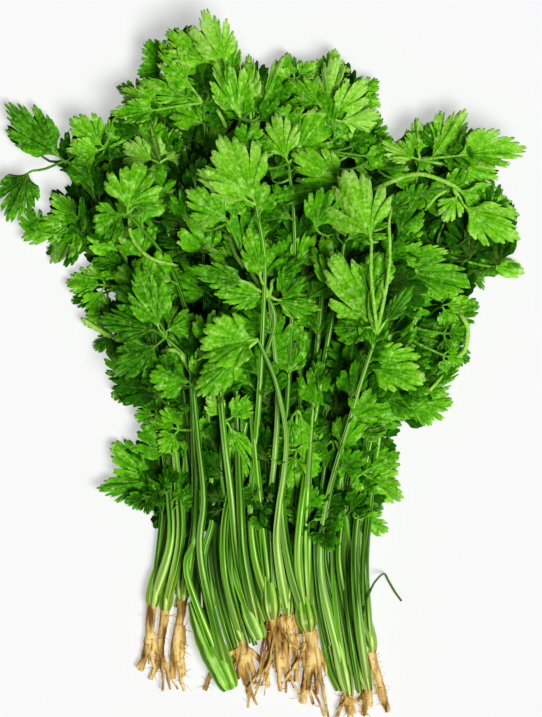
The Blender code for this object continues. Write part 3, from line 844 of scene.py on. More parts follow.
@dataclass(frozen=True)
class Blade:
    """How a leaflet's blade is cut and how it bends."""

    lobes: tuple[tuple[int, ...], ...] = ((2, 2), (2, 3, 2), (2, 2))
    spread: float = 66.0
    waist: float = 0.44
    shoulder: float = 0.40
    shoulder_bend: float = 2.3
    lobe_cut: float = 0.40
    part_cut: float = 0.17
    tooth_cut: float = 0.075
    end_cut: float = 0.06
    cut_range: tuple = (0.6, 1.3)
    tooth_widths: tuple = (0.8, 1.2)
    middle_lobe: float = 1.12
    roundness: float = 0.42
    notch: float = 0.6
    bulge: float = 0.17
    part_bulge: float = 0.06
    fold: float = 19.0
    droop: float = 0.20
    turn: float = 0.42
    twist: float = 17.0
    ripple: float = 1.1
    pleat: float = 0.5
    rows: int = 6
    samples: int = 4
    thickness: float = 0.32
    overhang: float = 1.06

    def outline(self, chance: random.Random) -> "Outline":
        """Draw the blade's edge, tooth by tooth across the fan.

        Args:
            chance: where the differences between leaflets come from.

        Returns:
            The edge and what is needed at each of its columns.
        """
        cuts, widths, part_of = [self.end_cut], [], []
        for number, lobe in enumerate(self.lobes):
            wider = self.middle_lobe if number == len(self.lobes) // 2 else 1.0
            last_cuts = [self.part_cut] * (len(lobe) - 1) + [self.lobe_cut]
            for part, (teeth, last_cut) in enumerate(zip(lobe, last_cuts)):
                for cut in [self.tooth_cut] * (teeth - 1) + [last_cut]:
                    widths.append(chance.uniform(*self.tooth_widths) * wider)
                    part_of.append((number, part))
                    cuts.append(cut * chance.uniform(*self.cut_range))
        cuts[-1] = self.end_cut
        count = len(widths)
        edges = np.concatenate([[0.0], np.cumsum(widths)])
        edges = edges / edges[-1]
        spread = math.radians(self.spread) * chance.uniform(0.92, 1.08)
        sizes = [chance.uniform(0.9, 1.04) for _ in self.lobes]
        shares, reach, vein, local = [0.0], [1.0 - cuts[0]], [0.0], [0.0]
        for k in range(count):
            bump = chance.uniform(-0.03, 0.03)
            for step in range(1, self.samples + 1):
                x = step / self.samples
                shares.append(edges[k] + (edges[k + 1] - edges[k]) * x)
                peak = math.sin(math.pi * x) ** self.roundness
                flare = [max(0.0, 1.0 - gap / self.notch) ** 1.5 * max(0.0, cut - self.tooth_cut)
                         for gap, cut in ((x, cuts[k]), (1.0 - x, cuts[k + 1]))]
                reach.append(1.0 - cuts[k + 1] if step == self.samples
                             else 1.0 + bump - self.tooth_cut * (1 - peak) - sum(flare))
                local.append(k + x)
                vein.append(0.5 if abs(x - 0.5) < 0.3 / self.samples else 0.0)
        shares, reach = np.array(shares), np.array(reach)
        bounds = [edges[part_of.index((n, 0))] for n in range(len(self.lobes))] + [1.0]
        groups = sorted(set(part_of))
        parts = [edges[part_of.index(g)] for g in groups] + [1.0]
        in_lobe = np.interp(shares, bounds, np.arange(len(bounds)))
        in_part = np.interp(shares, parts, np.arange(len(parts)))
        lobe = np.clip(np.floor(in_lobe - 1e-9), 0, len(self.lobes) - 1).astype(int)
        dome = 1 - self.bulge * (2 * (in_lobe - lobe) - 1) ** 2
        part = np.clip(np.floor(in_part - 1e-9), 0, len(groups) - 1)
        dome *= 1 - self.part_bulge * (2 * (in_part - part) - 1) ** 2
        side = np.abs(2 * shares - 1)
        reach *= dome * np.array(sizes)[lobe] * (1 - self.shoulder * side ** self.shoulder_bend)
        vein = np.array(vein)
        for n in range(len(self.lobes)):
            middle = (bounds[n] + bounds[n + 1]) / 2
            vein[np.argmin(np.abs(shares - middle))] = 1.0
        angles = spread * (2 * shares - 1) + chance.uniform(-0.06, 0.06) * np.sin(math.pi * shares)
        return Outline(angles, reach / reach.max(), vein, in_lobe, in_part, np.array(local))

    def shell(self, leaflet: Leaflet, chance: random.Random) -> tuple[np.ndarray, list, dict]:
        """Make the blade's closed thin shell.

        Args:
            leaflet: where the leaflet is.
            chance: where the differences between leaflets come from.

        Returns:
            Its points, faces and named numbers.
        """
        edge = self.outline(chance)
        columns = len(edge.angles)
        far = (np.linspace(0.0, 1.0, self.rows + 1)[1:] ** 0.8)[:, None]
        radius = far * edge.reach[None, :]
        angles = edge.angles * (self.waist + (1 - self.waist) * far ** 0.7)
        across = radius * np.sin(angles)
        ahead = radius * np.cos(angles)
        across *= self.overhang / np.abs(across).max()
        u = ahead / ahead.max() * leaflet.length
        v = across * leaflet.half_width
        size = leaflet.half_width
        lift = np.abs(v) * math.tan(math.radians(chance.gauss(-0.25, 1.0) * self.fold))
        lift -= chance.uniform(-0.3, 1.6) * self.droop * leaflet.length * (u / leaflet.length) ** 2
        lift += chance.gauss(0.0, self.turn) * u * v / leaflet.length
        turns = np.array([chance.uniform(-1.0, 1.0) for _ in range(len(self.lobes) + 1)])
        turn = turns[np.clip(np.floor(edge.in_lobe), 0, len(self.lobes)).astype(int)]
        lift += turn * np.sin(2 * math.pi * edge.in_lobe) * far * size * 0.5 * math.tan(
            math.radians(self.twist))
        waves = chance.uniform(0.0, 2 * math.pi), chance.uniform(2.0, 3.6)
        share = np.linspace(0.0, 1.0, columns)
        wave = np.sin(2 * math.pi * share * waves[1] + waves[0])
        lift += self.ripple * size / 12.0 * far ** 2 * wave
        lift -= self.pleat * far ** 0.7 * (1 - np.abs(np.sin(math.pi * edge.in_part)))
        lift += 0.35 * self.pleat * far ** 2 * np.abs(np.sin(math.pi * edge.in_tooth))
        curl = chance.gauss(0.0, 0.10) * size
        lift += curl * np.clip(far - 0.55, 0.0, None) ** 2 / 0.2
        forward = unit(leaflet.tip - leaflet.base)
        sideways = np.cross(leaflet.normal, forward)
        top = (leaflet.base + u[..., None] * forward + v[..., None] * sideways
               + lift[..., None] * leaflet.normal).reshape(-1, 3)
        top = np.vstack([top, leaflet.base[None]])
        base = len(top) - 1
        grid = np.arange(self.rows * columns).reshape(self.rows, columns)
        faces = [(base, int(grid[0, i + 1]), int(grid[0, i])) for i in range(columns - 1)]
        for j in range(self.rows - 1):
            for i in range(columns - 1):
                corners = grid[j, i], grid[j, i + 1], grid[j + 1, i + 1], grid[j + 1, i]
                faces.append(tuple(int(v) for v in corners))
        bottom = top - leaflet.normal * self.thickness
        top[:, 2] = np.maximum(top[:, 2], REST_GAP + self.thickness)
        bottom[:, 2] = np.maximum(bottom[:, 2], REST_GAP)
        count = len(top)
        under = [tuple(v + count for v in reversed(face)) for face in faces]
        rim = [int(v) for v in (base, *grid[:, 0], *grid[-1, 1:], *grid[-2::-1, -1])]
        edges = [(a, b, b + count, a + count) for a, b in zip(rim, rim[1:] + rim[:1])]
        vein = edge.vein[None, :] * np.where(edge.vein[None, :] > 0.9, 1.25 - far, 0.4 + 0 * far)
        # How near the blade's edge each point is; the leaf material lightens there as a painted
        # highlight.
        margin = np.broadcast_to(far ** 5, vein.shape)
        # Highest on the middles of the lobe parts and teeth, lowest at the notches where the pleats
        # dip; the leaf material paints light on the ridges and shade in the hollows from it.
        crest = far ** 0.4 * (0.6 * np.abs(np.sin(math.pi * edge.in_part))
                              + 0.4 * np.abs(np.sin(math.pi * edge.in_tooth)))
        numbers = {label: np.tile(np.concatenate([values.ravel(), [at_base]]), 2)
                   for label, values, at_base in (("vein", vein, 1.0), ("margin", margin, 0.0),
                                                  ("crest", crest, 0.5))}
        numbers["underside"] = np.repeat([0.0, 1.0], count)
        return np.vstack([top, bottom]), faces + under + edges, numbers


@dataclass(frozen=True)
class Outline:
    """A blade's edge, column by column across its fan."""

    angles: np.ndarray
    reach: np.ndarray
    vein: np.ndarray
    in_lobe: np.ndarray
    in_part: np.ndarray
    in_tooth: np.ndarray


BLADES = {
    Cut.FAN: Blade(),
    Cut.DEEP_FAN: Blade(lobes=((3, 3), (2, 3, 2), (3, 3)), lobe_cut=0.48, part_cut=0.22,
                        tooth_cut=0.09, spread=68.0),
    Cut.COMB: Blade(lobes=((2, 2, 2, 2, 2, 2, 2),), part_cut=0.16, tooth_cut=0.10, spread=74.0),
    Cut.STRAP: Blade(lobes=((2, 2, 2),), part_cut=0.12, tooth_cut=0.08, spread=50.0),
}
INNER_BLADE = Blade(lobes=((2, 2), (2, 2), (2, 2)), lobe_cut=0.40, rows=4, samples=3,
                    thickness=0.3, twist=16.0, fold=20.0)
# The lower a leaflet lies, the less of it shows and the fewer faces it needs.
LOW_BLADE = replace(INNER_BLADE, rows=3)
LOWEST_BLADE = replace(INNER_BLADE, rows=2, samples=2)


# --- Leaves ---


@dataclass(frozen=True)
class LeafLook:
    """How a leaf differs from the ordinary one, with how much paler its long leaflets are."""

    tone: Tone = Tone.FRESH
    cut: Cut = Cut.FAN
    spread: float = 0.0


# The leaves that differ from the ordinary one.
LEAF_LOOKS = {leaf: look for look, leaves in (
    (LeafLook(Tone.DEEP), ("plant_01_leaf_1", "plant_03_leaf_3", "plant_09_leaf_1",
        "plant_10_leaf_1", "plant_11_leaf_1", "plant_12_leaf_3")),
    # The lowest leaves of these plants are the darkest: painted shade from the leaves above them.
    (LeafLook(Tone.DARK), ("plant_02_leaf_1", "plant_03_leaf_1", "plant_04_leaf_1",
        "plant_06_leaf_1", "plant_07_leaf_1", "plant_08_leaf_1")),
    (LeafLook(Tone.DEEP, Cut.DEEP_FAN), ("plant_02_leaf_2",)),
    (LeafLook(Tone.BRIGHT), ("plant_03_leaf_2", "plant_05_leaf_1", "plant_09_leaf_3",
        "plant_12_leaf_4")),
    (LeafLook(Tone.PALE, Cut.DEEP_FAN), ("plant_04_leaf_2",)),
    (LeafLook(Tone.BRIGHT, Cut.DEEP_FAN), ("plant_05_leaf_2", "plant_11_leaf_3")),
    (LeafLook(Tone.LIGHT, Cut.DEEP_FAN), ("plant_05_leaf_3", "plant_07_leaf_2",
        "plant_09_leaf_2")),
    (LeafLook(Tone.FRESH, Cut.DEEP_FAN), ("plant_06_leaf_2",)),
    (LeafLook(Tone.DEEP, spread=0.1), ("plant_07_leaf_3", "plant_10_leaf_2")),
    (LeafLook(Tone.LIGHT), ("plant_07_leaf_4",)),
    (LeafLook(Tone.FRESH, Cut.COMB, 0.1), ("plant_08_leaf_3",)),
    (LeafLook(Tone.FRESH, spread=0.18), ("plant_10_leaf_3",)),
) for leaf in leaves}

# The leaves whose stalks lie on top of the others.
PROUD_LEAVES = ("plant_10_leaf_3", "plant_07_leaf_3", "plant_08_leaf_3")


@dataclass
class Leaf:
    """One compound leaf: blades on twigs that meet at its hub."""

    node: str
    finish: bpy.types.Material
    twig_radius: float = 0.78
    twig_taper: tuple = (1.0, 0.85, 0.75, 0.35)
    wedge_share: float = 0.14
    slimmest_wide: float = 0.62
    wide_spread: float = 74.0
    tone_range: tuple = (-0.12, 0.10)
    proud_tone: float = 0.74
    proud_girth: float = 1.3
    hub: np.ndarray = field(init=False)
    leaflets: list[Leaflet] = field(init=False)

    def __post_init__(self) -> None:
        """Read the leaf from the frame."""
        solid = Solid(self.node)
        self.hub = solid.hub()
        self.leaflets = solid.leaflets()

    def _drawn_in(self, leaflet: Leaflet) -> Leaflet:
        """The leaflet with its base brought closer to the hub, as its blade tapers that far.

        Args:
            leaflet: the frame's leaflet.

        Returns:
            The leaflet to draw.
        """
        gap = leaflet.base - self.hub
        base = leaflet.base - unit(gap) * min(0.6 * float(np.linalg.norm(gap)),
                                              self.wedge_share * leaflet.length)
        forward = unit(leaflet.tip - base)
        normal = unit(leaflet.normal - forward * (leaflet.normal @ forward))
        return Leaflet(base, leaflet.tip, leaflet.half_width, normal)

    def build(self) -> bpy.types.Object:
        """Make the leaf's piece.

        Returns:
            The piece.
        """
        chance = random.Random(self.node)
        look = LEAF_LOOKS.get(self.node, LeafLook())
        proud = self.node in PROUD_LEAVES
        usual = np.mean([leaflet.length for leaflet in self.leaflets])
        basket = Basket()
        for leaflet in map(self._drawn_in, self.leaflets):
            blade = BLADES[look.cut]
            wide = leaflet.half_width / leaflet.length > self.slimmest_wide
            if wide and look.cut != Cut.COMB:
                blade = replace(blade, spread=self.wide_spread)
            points, faces, numbers = blade.shell(leaflet, chance)
            tone = look.tone.value + chance.uniform(*self.tone_range)
            tone += look.spread if leaflet.length > usual else -look.spread
            basket.add(points, faces, tone=tone, **numbers)
            self._twig(basket, leaflet, max(tone, self.proud_tone) if proud else tone)
        return basket.piece(f"{self.node}_blades", self.finish)

    def _twig(self, basket: Basket, leaflet: Leaflet, tone: float) -> None:
        """The curved twig from the hub to one blade, running a little way into it.

        Args:
            basket: where it goes.
            leaflet: where the blade is.
            tone: how light the twig is.
        """
        forward = unit(leaflet.tip - leaflet.base)
        span = np.linalg.norm(leaflet.base - self.hub)
        middle = (self.hub + leaflet.base) / 2 + forward * span * 0.08
        end = leaflet.base + forward * leaflet.length * 0.16
        radius = self.twig_radius * (self.proud_girth if self.node in PROUD_LEAVES else 1.0)
        twig(basket, route([self.hub, middle, leaflet.base, end],
                           radius * np.array(self.twig_taper), 8, TWIG_GAP), tone)


# --- Node trees ---


class Tree(NodeTree):
    """A geometry node tree under construction."""

    def __init__(self, name: str, inputs: dict[str, tuple[str, object]]) -> None:
        """Start a tree with a geometry input and these named inputs.

        Args:
            name: the tree's name.
            inputs: for each input, its socket type and its usual value.
        """
        super().__init__(bpy.data.node_groups.new(name, "GeometryNodeTree"))
        sockets = self.tree.interface
        for side in ("INPUT", "OUTPUT"):
            sockets.new_socket("Geometry", in_out=side, socket_type="NodeSocketGeometry")
        self.identifiers = {}
        for label, (kind, value) in inputs.items():
            made = sockets.new_socket(label, in_out="INPUT", socket_type=kind)
            if value is not None:
                made.default_value = value
            self.identifiers[label] = made.identifier
        self.start = self.add("NodeGroupInput")
        self.end = self.add("NodeGroupOutput")

    def scaled(self, vector, size) -> bpy.types.NodeSocket:
        """A vector times a number or socket."""
        return self.add("ShaderNodeVectorMath", {"operation": "SCALE"}, _0=vector,
                        Scale=size).outputs[0]

    def knotted(self, geometry, detail: float, size=1.0) -> bpy.types.NodeSocket:
        """The geometry pushed in and out along its normals, by knots of the tree's own inputs.

        Args:
            geometry: the socket of the geometry.
            detail: how much finer than the knots their detail goes.
            size: a number or socket that the knots' depth is multiplied by.

        Returns:
            The socket of the knotted geometry.
        """
        given = self.start.outputs
        noise = self.add("ShaderNodeTexNoise", Scale=given["Knot Scale"], Detail=detail)
        rise = self.times(self.math("SUBTRACT", noise.outputs[0], 0.5), given["Knot Depth"])
        push = self.scaled(self.add("GeometryNodeInputNormal").outputs[0], self.times(rise, size))
        return self.add("GeometryNodeSetPosition", Geometry=geometry, Offset=push).outputs[0]

    def swept(self, line, ring, size) -> bpy.types.NodeSocket:
        """A tube along a line, closed at both ends, with this ring at this size all round it."""
        return self.add("GeometryNodeCurveToMesh", Curve=line, Profile_Curve=ring, Scale=size,
                        Fill_Caps=True).outputs[0]

    def above_floor(self, geometry: bpy.types.NodeSocket) -> bpy.types.NodeSocket:
        """The geometry with whatever reaches through the floor lifted onto it.

        Args:
            geometry: the socket of the geometry.

        Returns:
            The socket of the lifted geometry.
        """
        place = self.add("ShaderNodeSeparateXYZ",
                         Vector=self.add("GeometryNodeInputPosition").outputs[0])
        lifted = self.math("MAXIMUM", place.outputs[2], REST_GAP * MM)
        resting = self.add("ShaderNodeCombineXYZ", X=place.outputs[0], Y=place.outputs[1], Z=lifted)
        return self.add("GeometryNodeSetPosition", Geometry=geometry,
                        Position=resting.outputs[0]).outputs[0]

    def close(self, geometry: bpy.types.NodeSocket) -> None:
        """End the tree: realise copies, set the material and send the geometry out.

        Args:
            geometry: the socket of the geometry.
        """
        real = self.add("GeometryNodeRealizeInstances", Geometry=geometry)
        dressed = self.add("GeometryNodeSetMaterial", Geometry=real.outputs[0],
                           Material=self.start.outputs["Material"])
        self.feed(self.end.inputs[0], dressed.outputs[0])

    def apply(self, target: bpy.types.Object, name: str, **values) -> bpy.types.Object:
        """Run the tree on an object and return the result as a plain mesh object.

        Args:
            target: the object the tree works on; it is removed afterwards.
            name: the new object's name.
            **values: the tree's inputs, named with _ for a space.

        Returns:
            The new object.
        """
        modifier = target.modifiers.new("build", "NODES")
        modifier.node_group = self.tree
        for label, value in values.items():
            modifier[self.identifiers[label.replace("_", " ")]] = value
        evaluated = target.evaluated_get(bpy.context.evaluated_depsgraph_get())
        mesh = bpy.data.meshes.new_from_object(evaluated)
        mesh.name = name
        mesh.shade_smooth()
        target.modifiers.remove(modifier)
        bpy.data.objects.remove(target)
        return new_object(name, mesh)


@dataclass(frozen=True)
class Strand:
    """A run that is to become a tube, with numbers that its material reads."""

    run: Run
    low: float = 0.0
    high: float = 1.0
    # How much darker it is: at random on the main stalks, and painted shade on the low spare and
    # filler stalks.
    dim: float = 0.0
    paleness: float = 0.0
    variety: float = 0.0


def strands_object(strands: Iterable[Strand]) -> bpy.types.Object:
    """An object of plain edges along the strands, with their numbers on its points.

    Args:
        strands: the strands.

    Returns:
        The object, ready for a sweep.
    """
    points, edges = [], []
    numbers = defaultdict(list)
    for strand in strands:
        start, count = len(points), len(strand.run.points)
        points.extend((strand.run.points * MM).tolist())
        edges.extend((start + k, start + k + 1) for k in range(count - 1))
        numbers["thickness"].extend(strand.run.radii * MM)
        numbers["along"].extend(np.linspace(strand.low, strand.high, count))
        steps = np.linalg.norm(np.diff(strand.run.points, axis=0), axis=1) * MM
        numbers["travel"].extend(np.concatenate([[0.0], np.cumsum(steps)]))
        for label in ("dim", "paleness", "variety"):
            numbers[label].extend([getattr(strand, label)] * count)
    mesh = bpy.data.meshes.new("strands")
    mesh.from_pydata(points, edges, [])
    store_numbers(mesh, numbers)
    return new_object("strands", mesh)


class RibbedSweep(Tree):
    """Tree that makes ribbed tubes along edges, closed at both ends."""

    def __init__(self) -> None:
        """Build the tree."""
        super().__init__("ribbed_sweep", {
            "Material": ("NodeSocketMaterial", None),
            "Sides": ("NodeSocketInt", 18),
            "Ribs": ("NodeSocketInt", 9),
            "Rib Depth": ("NodeSocketFloat", 0.06),
            "Knot Depth": ("NodeSocketFloat", 0.0),
            "Knot Scale": ("NodeSocketFloat", 200.0),
        })
        given = self.start.outputs
        line = self.add("GeometryNodeMeshToCurve", Mesh=given["Geometry"]).outputs[0]
        circle = self.add("GeometryNodeCurvePrimitiveCircle", Resolution=given["Sides"], Radius=1.0)
        index = self.add("GeometryNodeInputIndex").outputs[0]
        turn = self.math("DIVIDE", self.times(index, given["Ribs"]), given["Sides"])
        wave = self.math("COSINE", self.times(turn, 2 * math.pi))
        place = self.add("GeometryNodeInputPosition").outputs[0]
        across = self.add("ShaderNodeSeparateXYZ", Vector=place).outputs
        ring = circle.outputs[0]
        for name, value in (("rib", self.math("MULTIPLY_ADD", wave, 0.5, 0.5)),
                            ("around_x", across[0]), ("around_y", across[1])):
            ring = self.add("GeometryNodeStoreNamedAttribute", Geometry=ring, Name=name,
                            Value=value).outputs[0]
        ribbed = self.scaled(place, self.math("MULTIPLY_ADD", wave, given["Rib Depth"], 1.0))
        ring = self.add("GeometryNodeSetPosition", Geometry=ring, Position=ribbed).outputs[0]
        thickness = self.add("GeometryNodeInputNamedAttribute", {"data_type": "FLOAT"},
                             Name="thickness").outputs[0]
        tube_mesh = self.swept(line, ring, thickness)
        self.close(self.above_floor(self.knotted(tube_mesh, 2.0, thickness)))


class RootSkin(Tree):
    """Tree that wrinkles a root's surface and grows fine hairs from it."""

    def __init__(self) -> None:
        """Build the tree."""
        super().__init__("root_skin", {
            "Material": ("NodeSocketMaterial", None),
            "Knot Depth": ("NodeSocketFloat", 0.0012),
            "Knot Scale": ("NodeSocketFloat", 260.0),
            "Hairs Per Area": ("NodeSocketFloat", 40000.0),
            "Hair Length": ("NodeSocketFloat", 0.006),
            "Hair Thickness": ("NodeSocketFloat", 0.00022),
            "Seed": ("NodeSocketInt", 5),
        })
        given = self.start.outputs
        skin = self.knotted(given["Geometry"], 3.0)
        roots = self.add("GeometryNodeDistributePointsOnFaces", Mesh=skin,
                         Density=given["Hairs Per Area"], Seed=given["Seed"]).outputs
        bend = self.add("GeometryNodeCurveQuadraticBezier", Resolution=5, Start=(0.0, 0.0, -0.05),
                        Middle=(0.1, 0.0, 0.5), End=(0.55, 0.0, 0.8)).outputs[0]
        share = self.add("GeometryNodeSplineParameter").outputs[0]
        taper = self.math("MULTIPLY_ADD", share, -0.8, 1.0)
        slim = self.math("DIVIDE", self.times(taper, given["Hair Thickness"]),
                         given["Hair Length"])
        ring = self.add("GeometryNodeCurvePrimitiveCircle", Resolution=4, Radius=1.0).outputs[0]
        spin = self.add("FunctionNodeRandomValue", {"data_type": "FLOAT_VECTOR"},
                        _0=(-0.7, -0.7, -3.14), _1=(0.7, 0.7, 3.14), Seed=given["Seed"])
        facing = self.add("FunctionNodeRotateRotation", {"rotation_space": "LOCAL"},
                          Rotation=roots["Rotation"], Rotate_By=spin.outputs[0]).outputs[0]
        size = self.add("FunctionNodeRandomValue", {"data_type": "FLOAT"}, _2=0.35, _3=1.0,
                        Seed=given["Seed"]).outputs[1]
        hairs = self.add("GeometryNodeInstanceOnPoints", Points=roots["Points"],
                         Instance=self.swept(bend, ring, slim), Rotation=facing,
                         Scale=self.times(size, given["Hair Length"])).outputs[0]
        loose = self.add("GeometryNodeRealizeInstances", Geometry=hairs).outputs[0]
        both = self.add("GeometryNodeJoinGeometry")
        for part in (skin, loose):
            self.feed(both.inputs[0], part)
        self.close(self.above_floor(both.outputs[0]))


# --- Plants ---


@dataclass
class Stalks:
    """One plant's stalks and the sheath at its crown."""

    plant: str
    hubs: list[np.ndarray]
    base_swell: float = 1.7
    sheath_shares: tuple = (0.0, 0.35, 0.7, 1.0)
    sheath_radii: tuple = (0.85, 1.0, 0.95, 0.7)
    shortest_sheath: float = 6.0
    usual_sheath: float = 26.0
    tendril_radius: float = 0.5
    spare_stalks: int = 4
    proud: tuple = ()
    tuck_above: float = 8.0
    tuck_gap: float = 3.4
    tuck_most: float = 16.0
    wrap_shares: tuple = (-0.13, 0.0, 0.08, 0.22, 0.42, 0.65, 0.88, 1.05)
    wrap_radii: tuple = (0.62, 0.90, 1.04, 1.14, 1.12, 0.98, 0.70, 0.36)
    cut_shares: tuple = (0.0, 0.02, 0.08, 0.22, 0.42, 0.65, 0.88, 1.05)
    cut_radii: tuple = (0.66, 0.78, 0.86, 0.96, 1.02, 0.92, 0.68, 0.36)
    taper_shares: tuple = (0.0, 0.03, 0.09, 0.5, 0.9, 1.0)
    taper_values: tuple = (0.5, 0.8, 1.0, 0.95, 0.8, 0.6)
    variety: float = 40.0
    proud_paleness: float = 0.55
    filler_height: float = 1.9
    filler_radii: tuple = (1.6, 1.1)
    spare_points: int = 60
    rooted: bool = True
    girth: float = 1.0
    crown: np.ndarray = field(init=False)
    runs: list[Run] = field(init=False)
    sheath: Run = field(init=False)
    tendrils: list[Run] = field(init=False)

    def __post_init__(self) -> None:
        """Read the plant's runs from the frame."""
        solid = Solid(self.node)
        corners, self.crown = min(solid.end_caps(SHEATH_SIDES), key=lambda cap: cap[1][1])
        self.sheath = self._read_sheath(solid, corners)
        self.runs = [self._read_run(solid, corners, centre)
                     for corners, centre in solid.end_caps(RUN_SIDES)]
        self.tendrils = [solid.run_from(corners, TENDRIL_SIDES)
                         for corners, centre in solid.end_caps(TENDRIL_SIDES)
                         if abs(solid.ring_radius(corners, centre)
                                - self.tendril_radius) < READ.same_radius]

    @property
    def node(self) -> str:
        """Name of the frame's node."""
        return f"{self.plant}_stalks"

    def _read_sheath(self, solid: Solid, corners: set[int]) -> Run:
        """The sheath's middle line and radii, from the flat end at its crown.

        Args:
            solid: the frame's solid.
            corners: the corners of its flat end.

        Returns:
            The sheath's run, upwards from the crown.
        """
        ring = solid.points[list(corners)]
        _, _, spread = np.linalg.svd(ring - self.crown)
        axis = spread[2] if spread[2][1] > 0 else -spread[2]
        radius = np.linalg.norm(ring - self.crown, axis=1).mean() / self.sheath_radii[0]
        far = (solid.points - self.crown) @ axis
        out = np.linalg.norm(solid.points - self.crown - far[:, None] * axis, axis=1)
        at_top = np.abs(out - self.sheath_radii[-1] * radius) < READ.same_radius
        top = far[at_top & (far > self.shortest_sheath)]
        values, counts = np.unique(np.round(top, 1), return_counts=True)
        length = float(values[np.argmax(counts)]) if len(values) else self.usual_sheath
        points = np.array([self.crown + axis * share * length for share in self.sheath_shares])
        return Run(points, radius * np.array(self.sheath_radii))

    def _read_run(self, solid: Solid, corners: set[int], centre: np.ndarray) -> Run:
        """One stalk from the crown to its leaf's hub.

        Args:
            solid: the frame's solid.
            corners: the corners of the stalk's end.
            centre: the middle of the stalk's end.

        Returns:
            The stalk's run.
        """
        seen = solid.run_from(corners, RUN_SIDES)
        hub = min(self.hubs, key=lambda place: np.linalg.norm(place - centre))
        points = [self.crown, *seen.points[::-1]]
        radii = [seen.radii[-1], *seen.radii[::-1]]
        if np.linalg.norm(hub - centre) < FRAME_SEAT_DROP + 1.0:
            points.append(hub)
            radii.append(radii[-1] * 0.8)
        return Run(np.array(points), np.array(radii))

    def _is_proud(self, run: Run) -> bool:
        """Whether this stalk lies on top of the leaves."""
        return any(np.linalg.norm(run.points[-1] - hub) < 1.0 for hub in self.proud)

    def tuck(self, canopy: "Canopy") -> None:
        """Lower the stalks to pass under the leaves, apart from those that lie on top.

        Args:
            canopy: the plan of the leaves.
        """
        for number, run in enumerate(self.runs):
            if self._is_proud(run):
                continue
            fine = run.smooth(72)
            ceiling = canopy.tops_along(fine)
            drop = np.where(ceiling > self.tuck_above,
                            fine.points[:, 2] - ceiling + self.tuck_gap, 0.0)
            drop = softened(softened(np.clip(drop, 0.0, self.tuck_most), 4), 4)
            share = np.linspace(0.0, 1.0, len(drop))
            drop *= np.clip((share - 0.25) / 0.15, 0, 1) * np.clip((1 - share) / 0.12, 0, 1)
            fine.points[:, 2] = np.maximum(fine.points[:, 2] - drop,
                                           np.minimum(fine.points[:, 2], fine.radii * 1.15 + 0.2))
            self.runs[number] = fine

    def build(self, sweep: RibbedSweep, stalk: bpy.types.Material, sheath: bpy.types.Material,
              beside: Optional["Stalks"] = None) -> list[bpy.types.Object]:
        """Make the pieces for the stalks and the sheath.

        Args:
            sweep: the tree that sweeps tubes.
            stalk: the stalks' material.
            sheath: the sheath's material.
            beside: the next plant, with thin stalks in the gap between the two.

        Returns:
            The two pieces.
        """
        chance = random.Random(self.plant)
        strands = []
        for run in self.runs:
            fine = run.smooth(STALK_POINTS)
            share = np.linspace(0.0, 1.0, STALK_POINTS)
            swell = chance.uniform(0.75, 1.25) * (self.base_swell - 1.0)
            fine.radii[:] *= 1.0 + swell * np.clip(1 - share / 0.5, 0, 1) ** 1.4
            fine.radii[:] *= profile(STALK_POINTS, self.taper_shares, self.taper_values)
            dim, paleness = chance.gauss(0.05, 0.16), chance.gauss(0.02, 0.16)
            if self._is_proud(run):
                dim, paleness = 0.0, self.proud_paleness
            strands.append(Strand(fine, dim=max(0.0, dim), paleness=max(0.0, paleness),
                                  variety=chance.uniform(0.0, self.variety)))
        for _ in range(self.spare_stalks if beside else 0):
            strands.append(self._spare(beside, chance))
        for places in FILLERS.get(self.plant, ()):
            points = np.array([[self.crown[0] + right, self.crown[1] + ahead, self.filler_height]
                               for right, ahead in places])
            radii = np.linspace(*self.filler_radii, len(points))
            filler = Run(points, radii).smooth(STALK_POINTS)
            # Fillers lie low and come out darker: painted shade.
            strands.append(Strand(filler, 0.05, 0.7, 0.3, 0.1, chance.uniform(0.0, self.variety)))
        for run in self.tendrils:
            strands.append(Strand(run.smooth(40), 0.7, 0.7, 0.55))
        stalks = sweep.apply(strands_object(strands), f"{self.plant}_stalk_bundle", Material=stalk,
                             Sides=20, Ribs=5, Rib_Depth=0.09)
        shares, wide = ((self.wrap_shares, self.wrap_radii) if self.rooted
                        else (self.cut_shares, self.cut_radii))
        foot, top = self.sheath.points[0], self.sheath.points[-1]
        base = Run(foot + np.outer(shares, top - foot),
                   self.sheath.radii.max() * np.array(wide)).smooth(SHEATH_POINTS)
        base.radii[:] *= 1.0 + (self.girth - 1.0) * profile(
            SHEATH_POINTS, (0.0, 0.1, 0.45, 0.8, 1.0), (0.3, 0.6, 1.0, 1.0, 0.0))
        base.clear_floor(0.2, 1.1)
        low, high = (0.0, 0.22) if self.rooted else (0.14, 0.35)
        strand = Strand(base, low, high, variety=chance.uniform(0.0, self.variety))
        wrap = sweep.apply(strands_object([strand]), f"{self.plant}_sheath", Material=sheath,
                           Sides=48, Ribs=len(self.runs) + 2, Rib_Depth=0.13, Knot_Depth=0.25,
                           Knot_Scale=160.0)
        return [stalks, wrap]

    def _spare(self, beside: "Stalks", chance: random.Random) -> Strand:
        """A thin stalk that runs low in the bunch between this plant and the next.

        Args:
            beside: the next plant.
            chance: where the differences between stalks come from.

        Returns:
            The stalk's strand.
        """
        near, far = (chance.choice(group.runs).smooth(self.spare_points).points
                     for group in (self, beside))
        count = int(self.spare_points * chance.uniform(0.5, 0.85))
        share = np.linspace(0.0, 1.0, count)
        mix = chance.uniform(0.25, 0.75) + chance.uniform(-0.3, 0.3) * share
        points = near[:count] * (1 - mix[:, None]) + far[:count] * mix[:, None]
        points[:, 1] += chance.uniform(-6.0, 10.0) * (1 - share)
        radii = chance.uniform(0.9, 1.7) * (1.15 - 0.5 * share)
        points[:, 2] *= chance.uniform(0.2, 0.9)
        run = Run(points, radii)
        run.clear_floor(0.1)
        # Spare stalks run low and come out darker: painted shade.
        return Strand(run, 0.05, 0.8, chance.uniform(0.05, 0.7), 0.0,
                      chance.uniform(0.0, self.variety))


